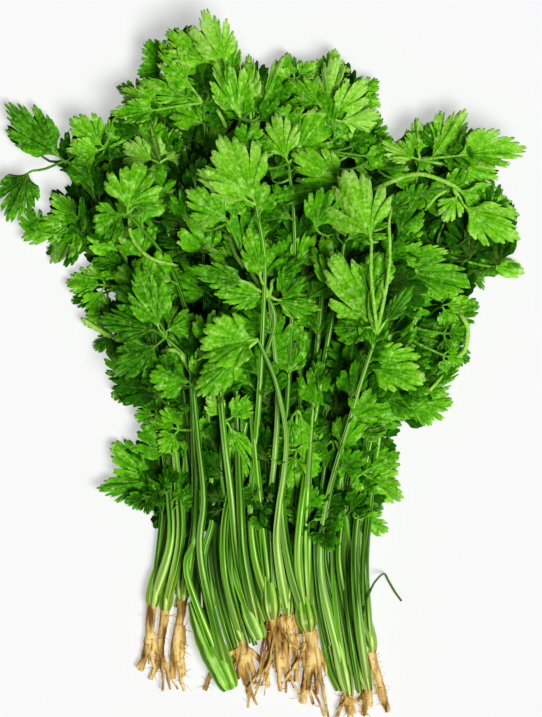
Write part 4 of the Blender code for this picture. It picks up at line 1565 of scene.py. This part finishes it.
@dataclass
class Root:
    """One plant's root, grown over from the frame's plain runs, with side roots added."""

    node: str
    finish: bpy.types.Material
    grain: float = 0.45
    smoothing: int = 4
    side_roots: tuple[int, int] = (6, 9)
    side_length: tuple[float, float] = (0.7, 1.2)
    side_radius: tuple[float, float] = (0.75, 1.35)
    spread: float = 0.13
    breadth: float = 1.8
    side_from: tuple[float, float] = (0.0, 0.0)
    lean: float = 0.15
    lean_left_of: float = -40.0
    below_top: float = 1.5
    near_top: float = 5.5
    joints: int = 11
    side_points: int = 34
    side_sides: int = 10

    def build(self, skin: RootSkin) -> bpy.types.Object:
        """Make the root's piece.

        Args:
            skin: the tree that wrinkles the surface and grows hairs.

        Returns:
            The piece.
        """
        chance = random.Random(self.node)
        solid = Solid(self.node)
        basket = Basket()
        basket.add(*self._core(solid))
        for _ in range(chance.randint(*self.side_roots)):
            basket.add(*tube(self._side_root(solid.points, chance), self.side_sides))
        return skin.apply(basket.piece("root_core", self.finish), f"{self.node}_skin",
                          Material=self.finish, Seed=chance.randint(1, 999))

    def _core(self, solid: Solid) -> tuple[np.ndarray, list]:
        """The frame's solid with its joins fused and softened, as corners and faces.

        Args:
            solid: the frame's solid.

        Returns:
            The corners in millimetres, and the faces.
        """
        basket = Basket()
        basket.add(solid.points, solid.triangles.tolist())
        core = basket.piece("root_core", self.finish)
        fused = core.modifiers.new("fuse", "REMESH")
        fused.mode = "VOXEL"
        fused.voxel_size = self.grain * MM
        soft = core.modifiers.new("soften", "SMOOTH")
        soft.iterations = self.smoothing
        mesh = core.evaluated_get(bpy.context.evaluated_depsgraph_get()).data
        points = corners_of(mesh)
        faces = [tuple(face.vertices) for face in mesh.polygons]
        bpy.data.objects.remove(core)
        return points, faces

    def _side_root(self, points: np.ndarray, chance: random.Random) -> Run:
        """A thinner root that leaves the upper part of the main one and winds downwards.

        Args:
            points: the main root's corners.
            chance: where the differences between roots come from.

        Returns:
            The side root's run.
        """
        top, bottom = points[:, 1].max(), points[:, 1].min()
        level = top - self.below_top - chance.uniform(*self.side_from) * (top - bottom)
        first = points[np.argmin(np.abs(points[:, 1] - level))]
        upper = points[np.linalg.norm(points - first, axis=1) < self.near_top]
        length = chance.uniform(*self.side_length) * (top - bottom)
        radius = chance.uniform(*self.side_radius)
        start = upper.mean(axis=0) + np.array([chance.uniform(-1, 1) * self.breadth, 0.0,
                                               chance.uniform(-1, 1)])
        inward = self.lean if start[0] < self.lean_left_of else 0.0
        heading = -math.pi / 2 + inward + chance.gauss(0.0, self.spread)
        places, radii = [start], [radius * 0.8]
        for step in range(1, self.joints + 1):
            heading += chance.gauss(0.0, 0.10)
            move = direction(heading, chance.gauss(-0.08, 0.15))
            places.append(places[-1] + move * length / self.joints)
            radii.append(radius * (1.1 - 0.05 * step) * chance.uniform(0.82, 1.15))
        run = Run(np.array(places), np.array(radii))
        run.clear_floor(0.3)
        return run.smooth(self.side_points)


# How much wider than the others a plant's sheath swells.
GIRTHS = {"plant_04": 1.22}

# Low stalks that close the gaps beside a plant: places from its crown, to the right and ahead.
FILLERS = {
    "plant_03": (((5, -3), (5, 8), (5, 18), (4, 40)),),
    "plant_04": (((-8, 38), (-9.5, 50), (-10.5, 60), (-10, 82)),),
    "plant_10": (((-4, -1), (-8, 8), (-11.5, 24), (-14, 40), (-15, 59), (-14, 84)),
                 ((-2, -1), (-6, 8), (-9.5, 24), (-12, 42), (-13, 60), (-11, 88))),
}

# The roots that grow into a thick clump of long thin fingers, and those that stay bare.
FULL = {"side_roots": (10, 13), "breadth": 4.0, "spread": 0.10, "side_radius": (0.7, 1.2)}
BARE = {"side_roots": (5, 6), "breadth": 1.4, "side_from": (0.25, 0.55), "side_length": (0.4, 0.62)}
ROOT_HABITS = {"plant_01_root": BARE, "plant_02_root": BARE, "plant_03_root": BARE,
               "plant_07_root": FULL, "plant_08_root": FULL, "plant_09_root": FULL,
               "plant_12_root": {**BARE, "side_roots": (1, 2)}}


# --- Inner leaves ---


class Canopy:
    """Plan of the leafy part, as small squares, with the leaves' heights over them."""

    margin = 30.0
    grow, shrink, rim = 7.0, 8.5, 5.0
    spread_steps = 24

    def __init__(self, leaflets: list[Leaflet], stalks: Iterable[Stalks], waist: float = -80.0,
                 cell: float = 1.5) -> None:
        """Lay the leaflets out on the plan.

        Args:
            leaflets: the leaflets that form its top.
            stalks: the plants' stalks, between which leaves grow as well.
            waist: how far down the stalks the leaves reach.
            cell: the squares' side.
        """
        self.cell = cell
        places = np.array([point for leaflet in leaflets for point in (leaflet.base, leaflet.tip)])
        self.corner = places.min(axis=0)[:2] - self.margin
        size = np.ceil((places.max(axis=0)[:2] + self.margin - self.corner) / cell).astype(int)
        self.covered = np.zeros(size, dtype=bool)
        self.heights = np.zeros(size)
        self.tops = np.zeros(size)
        weight = np.zeros(size)
        for leaflet in leaflets:
            inside, height = self.squares(leaflet)
            self.covered[inside] = True
            self.heights[inside] += height
            self.tops[inside] = np.maximum(self.tops[inside], height)
            weight[inside] += 1
        along = self.covered.copy()
        for run in (run.smooth(90) for group in stalks for run in group.runs):
            places = run.points[run.points[:, 1] > waist]
            i, j = ((places[:, :2] - self.corner) / cell).astype(int).T
            for right in range(-2, 3):
                along[i + right, j] = True
            lone = weight[i, j] == 0
            self.heights[i[lone], j[lone]] += places[lone, 2] * 1.1
            weight[i[lone], j[lone]] += 1
        self.heights = self._spread(self.heights, weight)
        closed = ~self._reach(~self._reach(along, self.grow), self.shrink)
        self.inside = self._filled(closed, along)
        self.core = ~self._reach(~self.inside, self.rim)
        self.layers = np.zeros(size, dtype=int)

    def squares(self, leaflet: Leaflet) -> tuple[tuple[np.ndarray, np.ndarray], np.ndarray]:
        """The squares that a leaflet lies over, and its height over each.

        Args:
            leaflet: the leaflet.

        Returns:
            The squares' rows and columns, and the heights.
        """
        rows, columns = np.meshgrid(*(np.arange(n) for n in self.covered.shape), indexing="ij")
        x = self.corner[0] + (rows + 0.5) * self.cell - leaflet.base[0]
        y = self.corner[1] + (columns + 0.5) * self.cell - leaflet.base[1]
        ahead = (leaflet.tip - leaflet.base)[:2]
        reach = np.linalg.norm(ahead)
        u = (x * ahead[0] + y * ahead[1]) / reach ** 2
        v = np.abs(x * -ahead[1] + y * ahead[0]) / reach / leaflet.half_width
        width = np.interp(u, (0.0, *(pair[0] for pair in (FRAME_MIDDLE_PAIR, FRAME_TIP_PAIR)), 1.0),
                          (FRAME_BASE_WIDTH, FRAME_MIDDLE_PAIR[1], FRAME_TIP_PAIR[1], 0.0))
        inside = np.nonzero((u >= 0) & (u <= 1) & (v <= width))
        n = leaflet.normal
        height = leaflet.base[2] - (x[inside] * n[0] + y[inside] * n[1]) / n[2]
        return inside, height

    def _reach(self, grid: np.ndarray, distance: float) -> np.ndarray:
        """The squares within this distance of the grid's marked squares.

        Args:
            grid: the marked squares.
            distance: the distance.

        Returns:
            The grid of those squares.
        """
        steps = int(distance / self.cell)
        grown = grid.copy()
        for i in range(-steps, steps + 1):
            for j in range(-steps, steps + 1):
                if i * i + j * j <= steps * steps:
                    grown |= np.roll(grid, (i, j), axis=(0, 1))
        return grown

    @staticmethod
    def _filled(grid: np.ndarray, bounds: np.ndarray) -> np.ndarray:
        """The grid with the holes filled that no step over open squares reaches from outside.

        Args:
            grid: the marked squares.
            bounds: other squares that block the way in.

        Returns:
            The filled grid.
        """
        walls = grid | bounds
        outside = np.zeros_like(walls)
        outside[[0, -1], :] = outside[:, [0, -1]] = True
        while True:
            grown = outside.copy()
            for axis in (0, 1):
                for step in (-1, 1):
                    grown |= np.roll(outside, step, axis)
            grown &= ~walls
            if (grown == outside).all():
                return ~outside
            outside = grown

    def _spread(self, total: np.ndarray, weight: np.ndarray) -> np.ndarray:
        """Mean heights, carried softly into the squares without any.

        Args:
            total: the sum of each square's heights.
            weight: how many heights each sum holds.

        Returns:
            The heights.
        """
        mean = np.where(weight > 0, total / np.maximum(weight, 1), 0.0)
        known = (weight > 0).astype(float)
        for _ in range(self.spread_steps):
            mean_sum, near = (sum(np.roll(grid, step, axis) for axis in (0, 1) for step in (-1, 1))
                              for grid in (mean * known, known))
            fresh = (known == 0) & (near > 0)
            mean = np.where(fresh, mean_sum / np.maximum(near, 1e-6), mean)
            known = np.maximum(known, fresh)
        return mean

    def at(self, grid: np.ndarray, place: np.ndarray) -> float:
        """The grid's value at a place."""
        i, j = ((place[:2] - self.corner) / self.cell).astype(int)
        return grid[min(max(i, 0), grid.shape[0] - 1), min(max(j, 0), grid.shape[1] - 1)]

    def tops_along(self, run: Run) -> np.ndarray:
        """The leaves' greatest height over each of a run's points."""
        return np.array([self.at(self.tops, place) for place in run.points])


@dataclass(frozen=True)
class Layer:
    """One layer of inner leaves, how often it covers each square of the plan, and its blades."""

    low: float
    high: float
    darkest: float
    lightest: float
    shortest: float
    longest: float
    times: int
    tries: int
    blade: Blade


@dataclass(frozen=True)
class Sprig:
    """A small leaf beside a large one: its hub from the other's, its direction and size."""

    beside: str
    right: float
    ahead: float
    height: float
    heading: float
    size: float
    tone: Tone = Tone.FRESH
    cut: Cut = Cut.FAN
    single: bool = False

    def leaflets(self, hub: np.ndarray, chance: random.Random) -> list[Leaflet]:
        """Its leaflets, round its own hub.

        Args:
            hub: the place of its hub.
            chance: where the differences between leaflets come from.

        Returns:
            The leaflets.
        """
        made = []
        for turn, size in ((0.0, 1.0), (64.0, 0.8), (-64.0, 0.8)):
            if turn and self.single:
                continue
            heading = math.radians(self.heading + turn + chance.uniform(-9.0, 9.0))
            ahead = unit(direction(heading, chance.uniform(-0.2, 0.1)))
            normal = rolled(ahead, chance.gauss(0.0, 0.25))
            length = self.size * size * chance.uniform(0.9, 1.1)
            base = hub + ahead * self.size * 0.16
            wide = chance.uniform(0.44, 0.54) * (0.45 if self.cut is Cut.STRAP else 1.0)
            made.append(Leaflet(base, base + ahead * length, length * wide, normal))
        return made


def sprigs(beside: str, *rows: tuple) -> list[Sprig]:
    """The sprigs beside one leaf, from the rest of each one's fields in their order."""
    return [Sprig(beside, *row) for row in rows]


# In each row: to the right, ahead and up from the leaf's hub, heading in degrees, size, look.
SPRIGS = (
    # The bunch's left edge.
    *sprigs("plant_03_leaf_1", (-21, -5, 10, 172, 15), (-19, -18, 8, 190, 12, Tone.BRIGHT),
            (-16, -27, 6, 205, 11, Tone.DEEP), (-20, -8, 4, 200, 16, Tone.DARK)),
    # Its right edge.
    *sprigs("plant_11_leaf_1", (1, -33, 4, 20, 16, Tone.DEEP), (0, -43, 4, -30, 14, Tone.DARK),
            (1, -26, 12, 8, 12), (2, -39, 10, -4, 11, Tone.DEEP), (2, -49, 8, -18, 9),
            (21, -8, 9, -3, 16, Tone.LIGHT, Cut.STRAP, True)),
    # Its top edge.
    *sprigs("plant_05_leaf_3", (25, 18, 14, 95, 12)),
    *sprigs("plant_09_leaf_2", (0, 20, 12, 80, 12, Tone.BRIGHT), (13, 9, 12, 50, 12)),
    *sprigs("plant_05_leaf_2", (-17, 16, 14, 122, 13, Tone.DEEP), (-30, 2, 10, 155, 11)),
    *sprigs("plant_09_leaf_2", (-14, 13, 6, 95, 12, Tone.DEEP)),
    # The dip between the top and the right shoulder.
    *sprigs("plant_09_leaf_2", (9, -17, 16, 45, 16), (17, -11, 12, 70, 13, Tone.DEEP)),
    *sprigs("plant_11_leaf_3", (-16, -5, 12, 110, 13)),
    # Small crinkled leaves round the waist.
    *sprigs("plant_01_leaf_2", (-3, -7, 12, 200, 9, Tone.DARK, Cut.DEEP_FAN),
            (5, -5, 14, 150, 8, Tone.DARK, Cut.DEEP_FAN),
            (14, -7, 14, 330, 9, Tone.DEEP, Cut.DEEP_FAN), (2, 31, 10, 178, 10, Tone.DEEP),
            (12, 24, 16, 170, 14)),
    *sprigs("plant_05_leaf_1", (14, -35, 18, 200, 8, Tone.DARK, Cut.DEEP_FAN),
            (20, -35, 19, 20, 9, Tone.DARK, Cut.DEEP_FAN),
            (16, -41, 17, 270, 8, Tone.DARK, Cut.DEEP_FAN)),
    *sprigs("plant_12_leaf_2", (-25, -21, 16, 160, 9, Tone.DEEP, Cut.DEEP_FAN),
            (-19, -25, 16, 300, 9, Tone.DARK, Cut.DEEP_FAN),
            (-4, -20, 14, -28, 14, Tone.FRESH, Cut.FAN, True)),
    *sprigs("plant_08_leaf_2", (0, -18, 20, 250, 15)),
    *sprigs("plant_12_leaf_3", (-3, -10, 18, 280, 14, Tone.DEEP)),
)


@dataclass(frozen=True)
class Petiole:
    """A leaf stalk in view: places from a leaf's hub, to the right and ahead.

    It lies on the leaves below it, or at its own height where it has one.
    """

    beside: str
    places: tuple[tuple[float, float], ...]
    radius: float = 0.8
    tone: Tone = Tone.LIGHT
    height: Optional[float] = None


PETIOLES = (
    Petiole("plant_07_leaf_3", ((-20, 38), (-17, 24), (-12, 14), (0, 0)), 1.0),
    Petiole("plant_04_leaf_4", ((1, 3), (1, -9), (9, -19), (22, -23)), 0.9),
    Petiole("plant_05_leaf_2", ((-2, 3), (6, -3), (11, -12)), 0.9),
    Petiole("plant_03_leaf_3", ((-5, -8), (-1, -6), (5, -6), (9, -11), (12, -19), (13, -39)), 1.1),
    Petiole("plant_11_leaf_3", ((-24, -1), (-11, 1), (-3, 0)), 0.8),
    Petiole("plant_12_leaf_4", ((-37, -1), (-18, 6), (-5, 3), (3, -1)), 1.0, Tone.LIGHT, 36.0),
    Petiole("plant_12_leaf_4", ((-13, -10), (-8, -4), (-3, -1)), 0.8, Tone.LIGHT, 31.0),
    Petiole("plant_12_leaf_1", ((2, 0), (9, 6), (15, 13)), 0.8),
    Petiole("plant_11_leaf_1", ((8, -28), (13, -36), (12, -46), (8, -50)), 1.1, Tone.PALE, 9.0),
    Petiole("plant_03_leaf_1", ((-17, -29), (-26, -24), (-32, -20)), 1.2, Tone.PALE, 8.0),
)


@dataclass
class InnerFoliage:
    """Smaller leaves that fill the bunch between and below the large ones."""

    canopy: Canopy
    stalks: dict[str, Stalks]
    hubs: dict[str, np.ndarray]
    longest_twig: float = 32.0
    bare_below: float = -8.0
    bare_from: float = -32.0
    bare_to: float = 20.0
    lowest: float = -72.0
    small_below: float = -45.0
    cover_share: float = 0.45
    over_stalk: float = 2.4
    tall_leaf: float = 14.0
    most_hidden: float = 0.22
    least_inside: float = 0.97
    least_in_bounds: float = 0.96
    widths: tuple = (0.42, 0.56)
    brightest_twig: float = 0.42
    first_twig_point: int = 12
    rim_layers: float = 0.6
    seed: int = 17
    fan_from: float = -60.0
    heading_spread: float = 0.65
    base_share: float = 0.55
    tip_share: float = 0.45
    chance: random.Random = field(init=False)
    baskets: dict[str, Basket] = field(init=False)
    names: list[str] = field(init=False)
    places: np.ndarray = field(init=False)
    # The lower a layer lies, the darker its tones: painted shade for the depth of the bunch.
    layers: tuple = (
        Layer(0.62, 0.95, 0.18, 0.60, 12.0, 20.0, 1, 3600, INNER_BLADE),
        Layer(0.35, 0.62, 0.00, 0.18, 15.0, 24.0, 2, 3000, LOW_BLADE),
        Layer(0.05, 0.28, 0.0, 0.03, 17.0, 27.0, 3, 2600, LOWEST_BLADE),
    )

    def __post_init__(self) -> None:
        """Start the baskets, and list the places on stalks that a twig may start from."""
        self.chance = random.Random(self.seed)
        self.baskets = {plant: Basket() for plant in self.stalks}
        starts = [(plant, run.smooth(40).points[self.first_twig_point:])
                  for plant, group in self.stalks.items() for run in group.runs]
        self.names = [plant for plant, points in starts for _ in points]
        self.places = np.vstack([points for _, points in starts])

    def build(self, finish: bpy.types.Material) -> list[bpy.types.Object]:
        """Make a piece of inner leaves for each plant.

        Args:
            finish: the leaf material.

        Returns:
            The pieces.
        """
        self.canopy.layers[self.canopy.covered] = 1
        inside = np.argwhere(self.canopy.inside)
        waist = np.array([self.places.mean(axis=0)[0], self.fan_from])
        self._cover_stalks()
        self._add_sprigs()
        self._add_petioles()
        for layer in self.layers:
            count = 0
            for _ in range(layer.tries):
                i, j = inside[self.chance.randrange(len(inside))]
                if self.canopy.layers[i, j] >= layer.times:
                    continue
                middle = self.canopy.corner + (np.array([i, j]) + 0.5) * self.canopy.cell
                if layer.times == 1 and self._is_bare(middle):
                    continue
                count += self._place(layer, middle, waist)
            left = (self.canopy.layers[self.canopy.inside] < layer.times).mean()
            log.info("inner layer up to %.2f: %d leaflets, %.1f%% open", layer.high, count,
                     left * 100)
        return [basket.piece(f"{plant}_inner_leaves", finish)
                for plant, basket in self.baskets.items() if basket.count]

    def _cover_stalks(self) -> None:
        """Put leaflets over the bare lengths of stalk inside the leafy part."""
        chance, count = self.chance, 0
        for plant, group in self.stalks.items():
            for run in (run.smooth(STALK_POINTS) for run in group.runs):
                for k in range(10, STALK_POINTS - 3):
                    place = run.points[k]
                    if (self.canopy.at(self.canopy.tops, place) > place[2] or self._is_bare(place)
                            or chance.random() > self.cover_share):
                        continue
                    along = unit(run.points[k + 1] - run.points[k - 1])
                    turn = chance.choice((-1, 1)) * chance.uniform(0.0, 1.1)
                    heading = math.atan2(along[1], along[0]) + turn
                    low = place[1] < self.small_below
                    length = chance.uniform(9.0, 15.0) if low else chance.uniform(14.0, 23.0)
                    ahead = direction(heading, chance.uniform(-0.10, 0.16))
                    base = place + ahead * chance.uniform(1.0, 4.0)
                    base += np.array([0.0, 0.0, self.over_stalk])
                    normal = rolled(ahead, chance.gauss(0.0, 0.22))
                    leaflet = Leaflet(base, base + ahead * length,
                                      length * chance.uniform(*self.widths), normal)
                    squares, height = self.canopy.squares(leaflet)
                    below = self.canopy.tops[squares]
                    hides = (below > self.tall_leaf) & (below < height)
                    if (not len(height) or hides.mean() > self.most_hidden
                            or self.canopy.inside[squares].mean() < self.least_inside):
                        continue
                    tone = chance.uniform(0.12, 0.42) if low else chance.uniform(0.26, 0.62)
                    self._add(plant, leaflet, tone, place)
                    self.canopy.tops[squares] = np.maximum(self.canopy.tops[squares], height)
                    self.canopy.layers[squares] = np.maximum(self.canopy.layers[squares], 1)
                    count += 1
        log.info("leaflets over stalks: %d", count)

    def _is_bare(self, place: np.ndarray) -> bool:
        """Whether the stalks at this place are free of leaves."""
        between = self.bare_from < place[0] < self.bare_to
        return place[1] < (self.bare_below if between else self.lowest)

    def _add_sprigs(self) -> None:
        """Put the small leaves that have a place of their own."""
        for sprig in SPRIGS:
            hub = self.hubs[sprig.beside] * np.array([1.0, 1.0, 0.0])
            hub += np.array([sprig.right, sprig.ahead, sprig.height])
            basket = self.baskets[plant_of(sprig.beside)]
            start = self.places[np.argmin(np.linalg.norm(self.places - hub, axis=1))]
            back = -unit(direction(math.radians(sprig.heading)))
            bend = (hub + start) / 2 + back * np.linalg.norm(hub - start) * 0.25
            tone = sprig.tone.value
            twig(basket, route([start, bend, hub], (0.9, 0.75, 0.6), 9, 0.1), min(tone, 0.5))
            for leaflet in sprig.leaflets(hub, self.chance):
                points, faces, numbers = BLADES[sprig.cut].shell(leaflet, self.chance)
                basket.add(points, faces, tone=tone + self.chance.uniform(-0.1, 0.1), **numbers)
                inside = leaflet.base + 0.15 * (leaflet.tip - leaflet.base)
                twig(basket, Run(np.array([hub, leaflet.base, inside]),
                                 np.array([0.6, 0.5, 0.25])), tone)

    def _add_petioles(self) -> None:
        """Lay the leaf stalks that show on top of the leaves."""
        for petiole in PETIOLES:
            hub = self.hubs[petiole.beside]
            points = []
            for right, ahead in petiole.places:
                place = hub + np.array([right, ahead, 0.0])
                place[2] = petiole.height or max(self.canopy.at(self.canopy.tops, place), 4.0)
                points.append(place)
            count = 8 * len(points)
            run = Run(np.array(points), np.full(len(points), petiole.radius)).smooth(count)
            if petiole.height is None:
                tops = softened(self.canopy.tops_along(run), 3)
                run.points[:, 2] = np.maximum(run.points[:, 2], tops) + 1.0
            run.points[:, 2] -= profile(count, (0.0, 0.2, 0.9, 1.0), (5.0, 0.0, 0.0, 2.0))
            run.points[:, 2] = np.maximum(run.points[:, 2], 1.5)
            run.radii[:] *= profile(count, (0.0, 0.1, 0.9, 1.0), (0.5, 1.0, 1.0, 0.5))
            twig(self.baskets[plant_of(petiole.beside)], run, petiole.tone.value, 8, 0.8)

    def _add(self, plant: str, leaflet: Leaflet, tone: float, start: np.ndarray,
             blade: Blade = INNER_BLADE) -> None:
        """Add one inner leaflet and the twig that carries it.

        Args:
            plant: the plant that it belongs to.
            leaflet: where the leaflet is.
            tone: how light it is.
            start: the place on a stalk that its twig starts from.
            blade: the kind of blade, coarser where less of it shows.
        """
        basket = self.baskets[plant]
        points, faces, numbers = blade.shell(leaflet, self.chance)
        basket.add(points, faces, tone=tone, **numbers)
        forward = unit(leaflet.tip - leaflet.base)
        bend = leaflet.base - forward * np.linalg.norm(leaflet.base - start) * 0.4
        inside = leaflet.base + forward * leaflet.length * 0.15
        twig(basket, route([start, (start + bend) / 2, leaflet.base, inside],
                           (0.7, 0.6, 0.5, 0.25), 7, TWIG_GAP),
             min(tone, self.brightest_twig), 5)

    def _place(self, layer: Layer, middle: np.ndarray, waist: np.ndarray) -> bool:
        """Try to put one leaflet over a place.

        Args:
            layer: the layer being filled.
            middle: the place, in plan.
            waist: the point that the leaflets fan out from, in plan.

        Returns:
            Whether the leaflet was put.
        """
        chance = self.chance
        length = chance.uniform(layer.shortest, layer.longest)
        outward = middle - waist
        heading = math.atan2(outward[1], outward[0]) + chance.gauss(0.0, self.heading_spread)
        ahead = direction(heading)[:2]
        middle = middle + np.array([chance.uniform(-0.3, 0.3), chance.uniform(-0.3, 0.3)]) * length
        top = self.canopy.at(self.canopy.heights, middle)
        height = max(2.0, top * chance.uniform(layer.low, layer.high))
        slope = chance.uniform(-0.3, 0.15)
        rise = slope * length / 2
        base = np.array([*(middle - ahead * length * self.base_share), max(1.5, height - rise)])
        tip = np.array([*(middle + ahead * length * self.tip_share), max(1.0, height + rise)])
        normal = rolled(unit(tip - base), chance.gauss(0.0, 0.3))
        leaflet = Leaflet(base, tip, length * chance.uniform(*self.widths), normal)
        squares, _ = self.canopy.squares(leaflet)
        bounds = self.canopy.inside if layer.high > self.rim_layers else self.canopy.core
        if not len(squares[0]) or bounds[squares].mean() < self.least_in_bounds:
            return False
        gaps = np.linalg.norm(self.places - base, axis=1)
        nearest = int(np.argmin(gaps))
        if gaps[nearest] > self.longest_twig:
            return False
        tone = chance.uniform(layer.darkest, layer.lightest)
        self._add(self.names[nearest], leaflet, tone, self.places[nearest], layer.blade)
        self.canopy.layers[squares] += 1
        return True


# --- Studio ---


@dataclass(frozen=True)
class Studio:
    """Plain pale floor, soft light from above, and a camera straight above the bunch."""

    view_centre: tuple = (6.6, 2.5)
    view_height: float = 329.8
    camera_height: float = 2400.0
    sensor: float = 36.0
    floor_size: float = 6.0
    floor_colour: tuple = (0.45, 0.4525, 0.45)
    sky_strength: float = 0.07
    key_strength: float = 3.36
    key_softness: float = 26.0
    key_place: tuple = (-1.05, 0.88, 3.0)
    floor_glow: float = 0.475

    def build(self) -> None:
        """Make the floor, the lights and the camera."""
        scene = bpy.context.scene
        scene.view_settings.view_transform = "Standard"
        world = bpy.data.worlds.new("studio")
        world.use_nodes = True
        sky = world.node_tree.nodes["Background"]
        sky.inputs["Color"].default_value = (1.0, 1.0, 1.0, 1.0)
        sky.inputs["Strength"].default_value = self.sky_strength
        scene.world = world
        half = self.floor_size / 2
        mesh = bpy.data.meshes.new("floor")
        mesh.from_pydata([(-half, -half, 0), (half, -half, 0), (half, half, 0), (-half, half, 0)],
                         [], [(0, 1, 2, 3)])
        mesh.materials.append(Shader("floor_paint").finish(
            (*self.floor_colour, 1.0), 0.9, Specular_IOR_Level=0.1,
            Emission_Color=(1.0, 1.0, 1.0, 1.0), Emission_Strength=self.floor_glow))
        floor = new_object("floor", mesh)
        light = bpy.data.lights.new("key", "SUN")
        light.angle = math.radians(self.key_softness)
        light.energy = self.key_strength
        key = new_object("key", light)
        key.location = self.key_place
        key.rotation_euler = self._facing(self.key_place)
        data = bpy.data.cameras.new("camera")
        data.sensor_width = self.sensor
        data.lens = self.sensor * self.camera_height / self.view_height
        data.clip_end = 100.0
        scene.camera = new_object("camera", data)
        scene.camera.location = (self.view_centre[0] * MM, self.view_centre[1] * MM,
                                 self.camera_height * MM)

    @staticmethod
    def _facing(place: tuple) -> tuple:
        """The turn that points a light at this place towards the origin."""
        x, y, z = place
        return math.atan2(math.hypot(x, y), z), 0.0, math.atan2(y, x) + 1.5 * math.pi


# --- The bunch ---


@dataclass
class Bunch:
    """All twelve plants."""

    nodes: list[str]

    def build(self) -> None:
        """Make every piece, ride it on the body and hide the frame's nodes that it replaces."""
        leaf, stalk, root = (kind().material() for kind in (LeafFinish, StalkFinish, RootFinish))
        sheath = StalkFinish(name="coriander_sheath", crown=(0.40, 0.45, 0.06), across=3.4,
                             dark=0.4).material()
        sweep, skin = RibbedSweep(), RootSkin()
        leaves = [Leaf(node, leaf) for node in self.nodes if "_leaf_" in node]
        for made in leaves:
            self._declare(made.build(), "leaf", made.node)
        plants: dict[str, Stalks] = {}
        for node in self.nodes:
            if node.endswith("_stalks"):
                plant = plant_of(node)
                hubs = [made.hub for made in leaves if made.node.startswith(plant)]
                proud = tuple(made.hub for made in leaves if made.node in PROUD_LEAVES)
                plants[plant] = Stalks(plant, hubs, rooted=f"{plant}_root" in self.nodes,
                                       proud=proud, girth=GIRTHS.get(plant, 1.0))
            if node.endswith("_root"):
                grown = Root(node, root, **ROOT_HABITS.get(node, {}))
                self._declare(grown.build(skin), "root", node)
        canopy = Canopy([leaflet for made in leaves for leaflet in made.leaflets], plants.values())
        in_order = sorted(plants.values(), key=lambda group: group.crown[0])
        for group, beside in zip(in_order, [*in_order[1:], None]):
            group.tuck(canopy)
            for piece in group.build(sweep, stalk, sheath, beside):
                self._declare(piece, "stalk", group.node)
        hubs = {made.node: made.hub for made in leaves}
        inner = LeafFinish("coriander_inner_leaf", 0.1).material()
        for piece in InnerFoliage(canopy, plants, hubs).build(inner):
            self._declare(piece, "leaf")

    @staticmethod
    def _declare(piece: bpy.types.Object, slot: str, *nodes: str) -> None:
        """Ride a piece on the body and hide the nodes that it replaces.

        Args:
            piece: the piece.
            slot: its slot's name, which is not used.
            *nodes: the nodes that it replaces.
        """
        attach(piece, BODY)
        if nodes:
            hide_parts(*nodes)
        log.info("%s: %d faces", piece.name, len(piece.data.polygons))


def main() -> None:
    """Build the bunch and its studio, and log how many faces all the meshes have."""
    logging.basicConfig(level=logging.INFO, format="%(message)s")
    Bunch(sorted(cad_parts)).build()
    Studio().build()
    log.info("faces in all: %d", sum(len(mesh.polygons) for mesh in bpy.data.meshes))


if __name__ == "__main__":
    main()
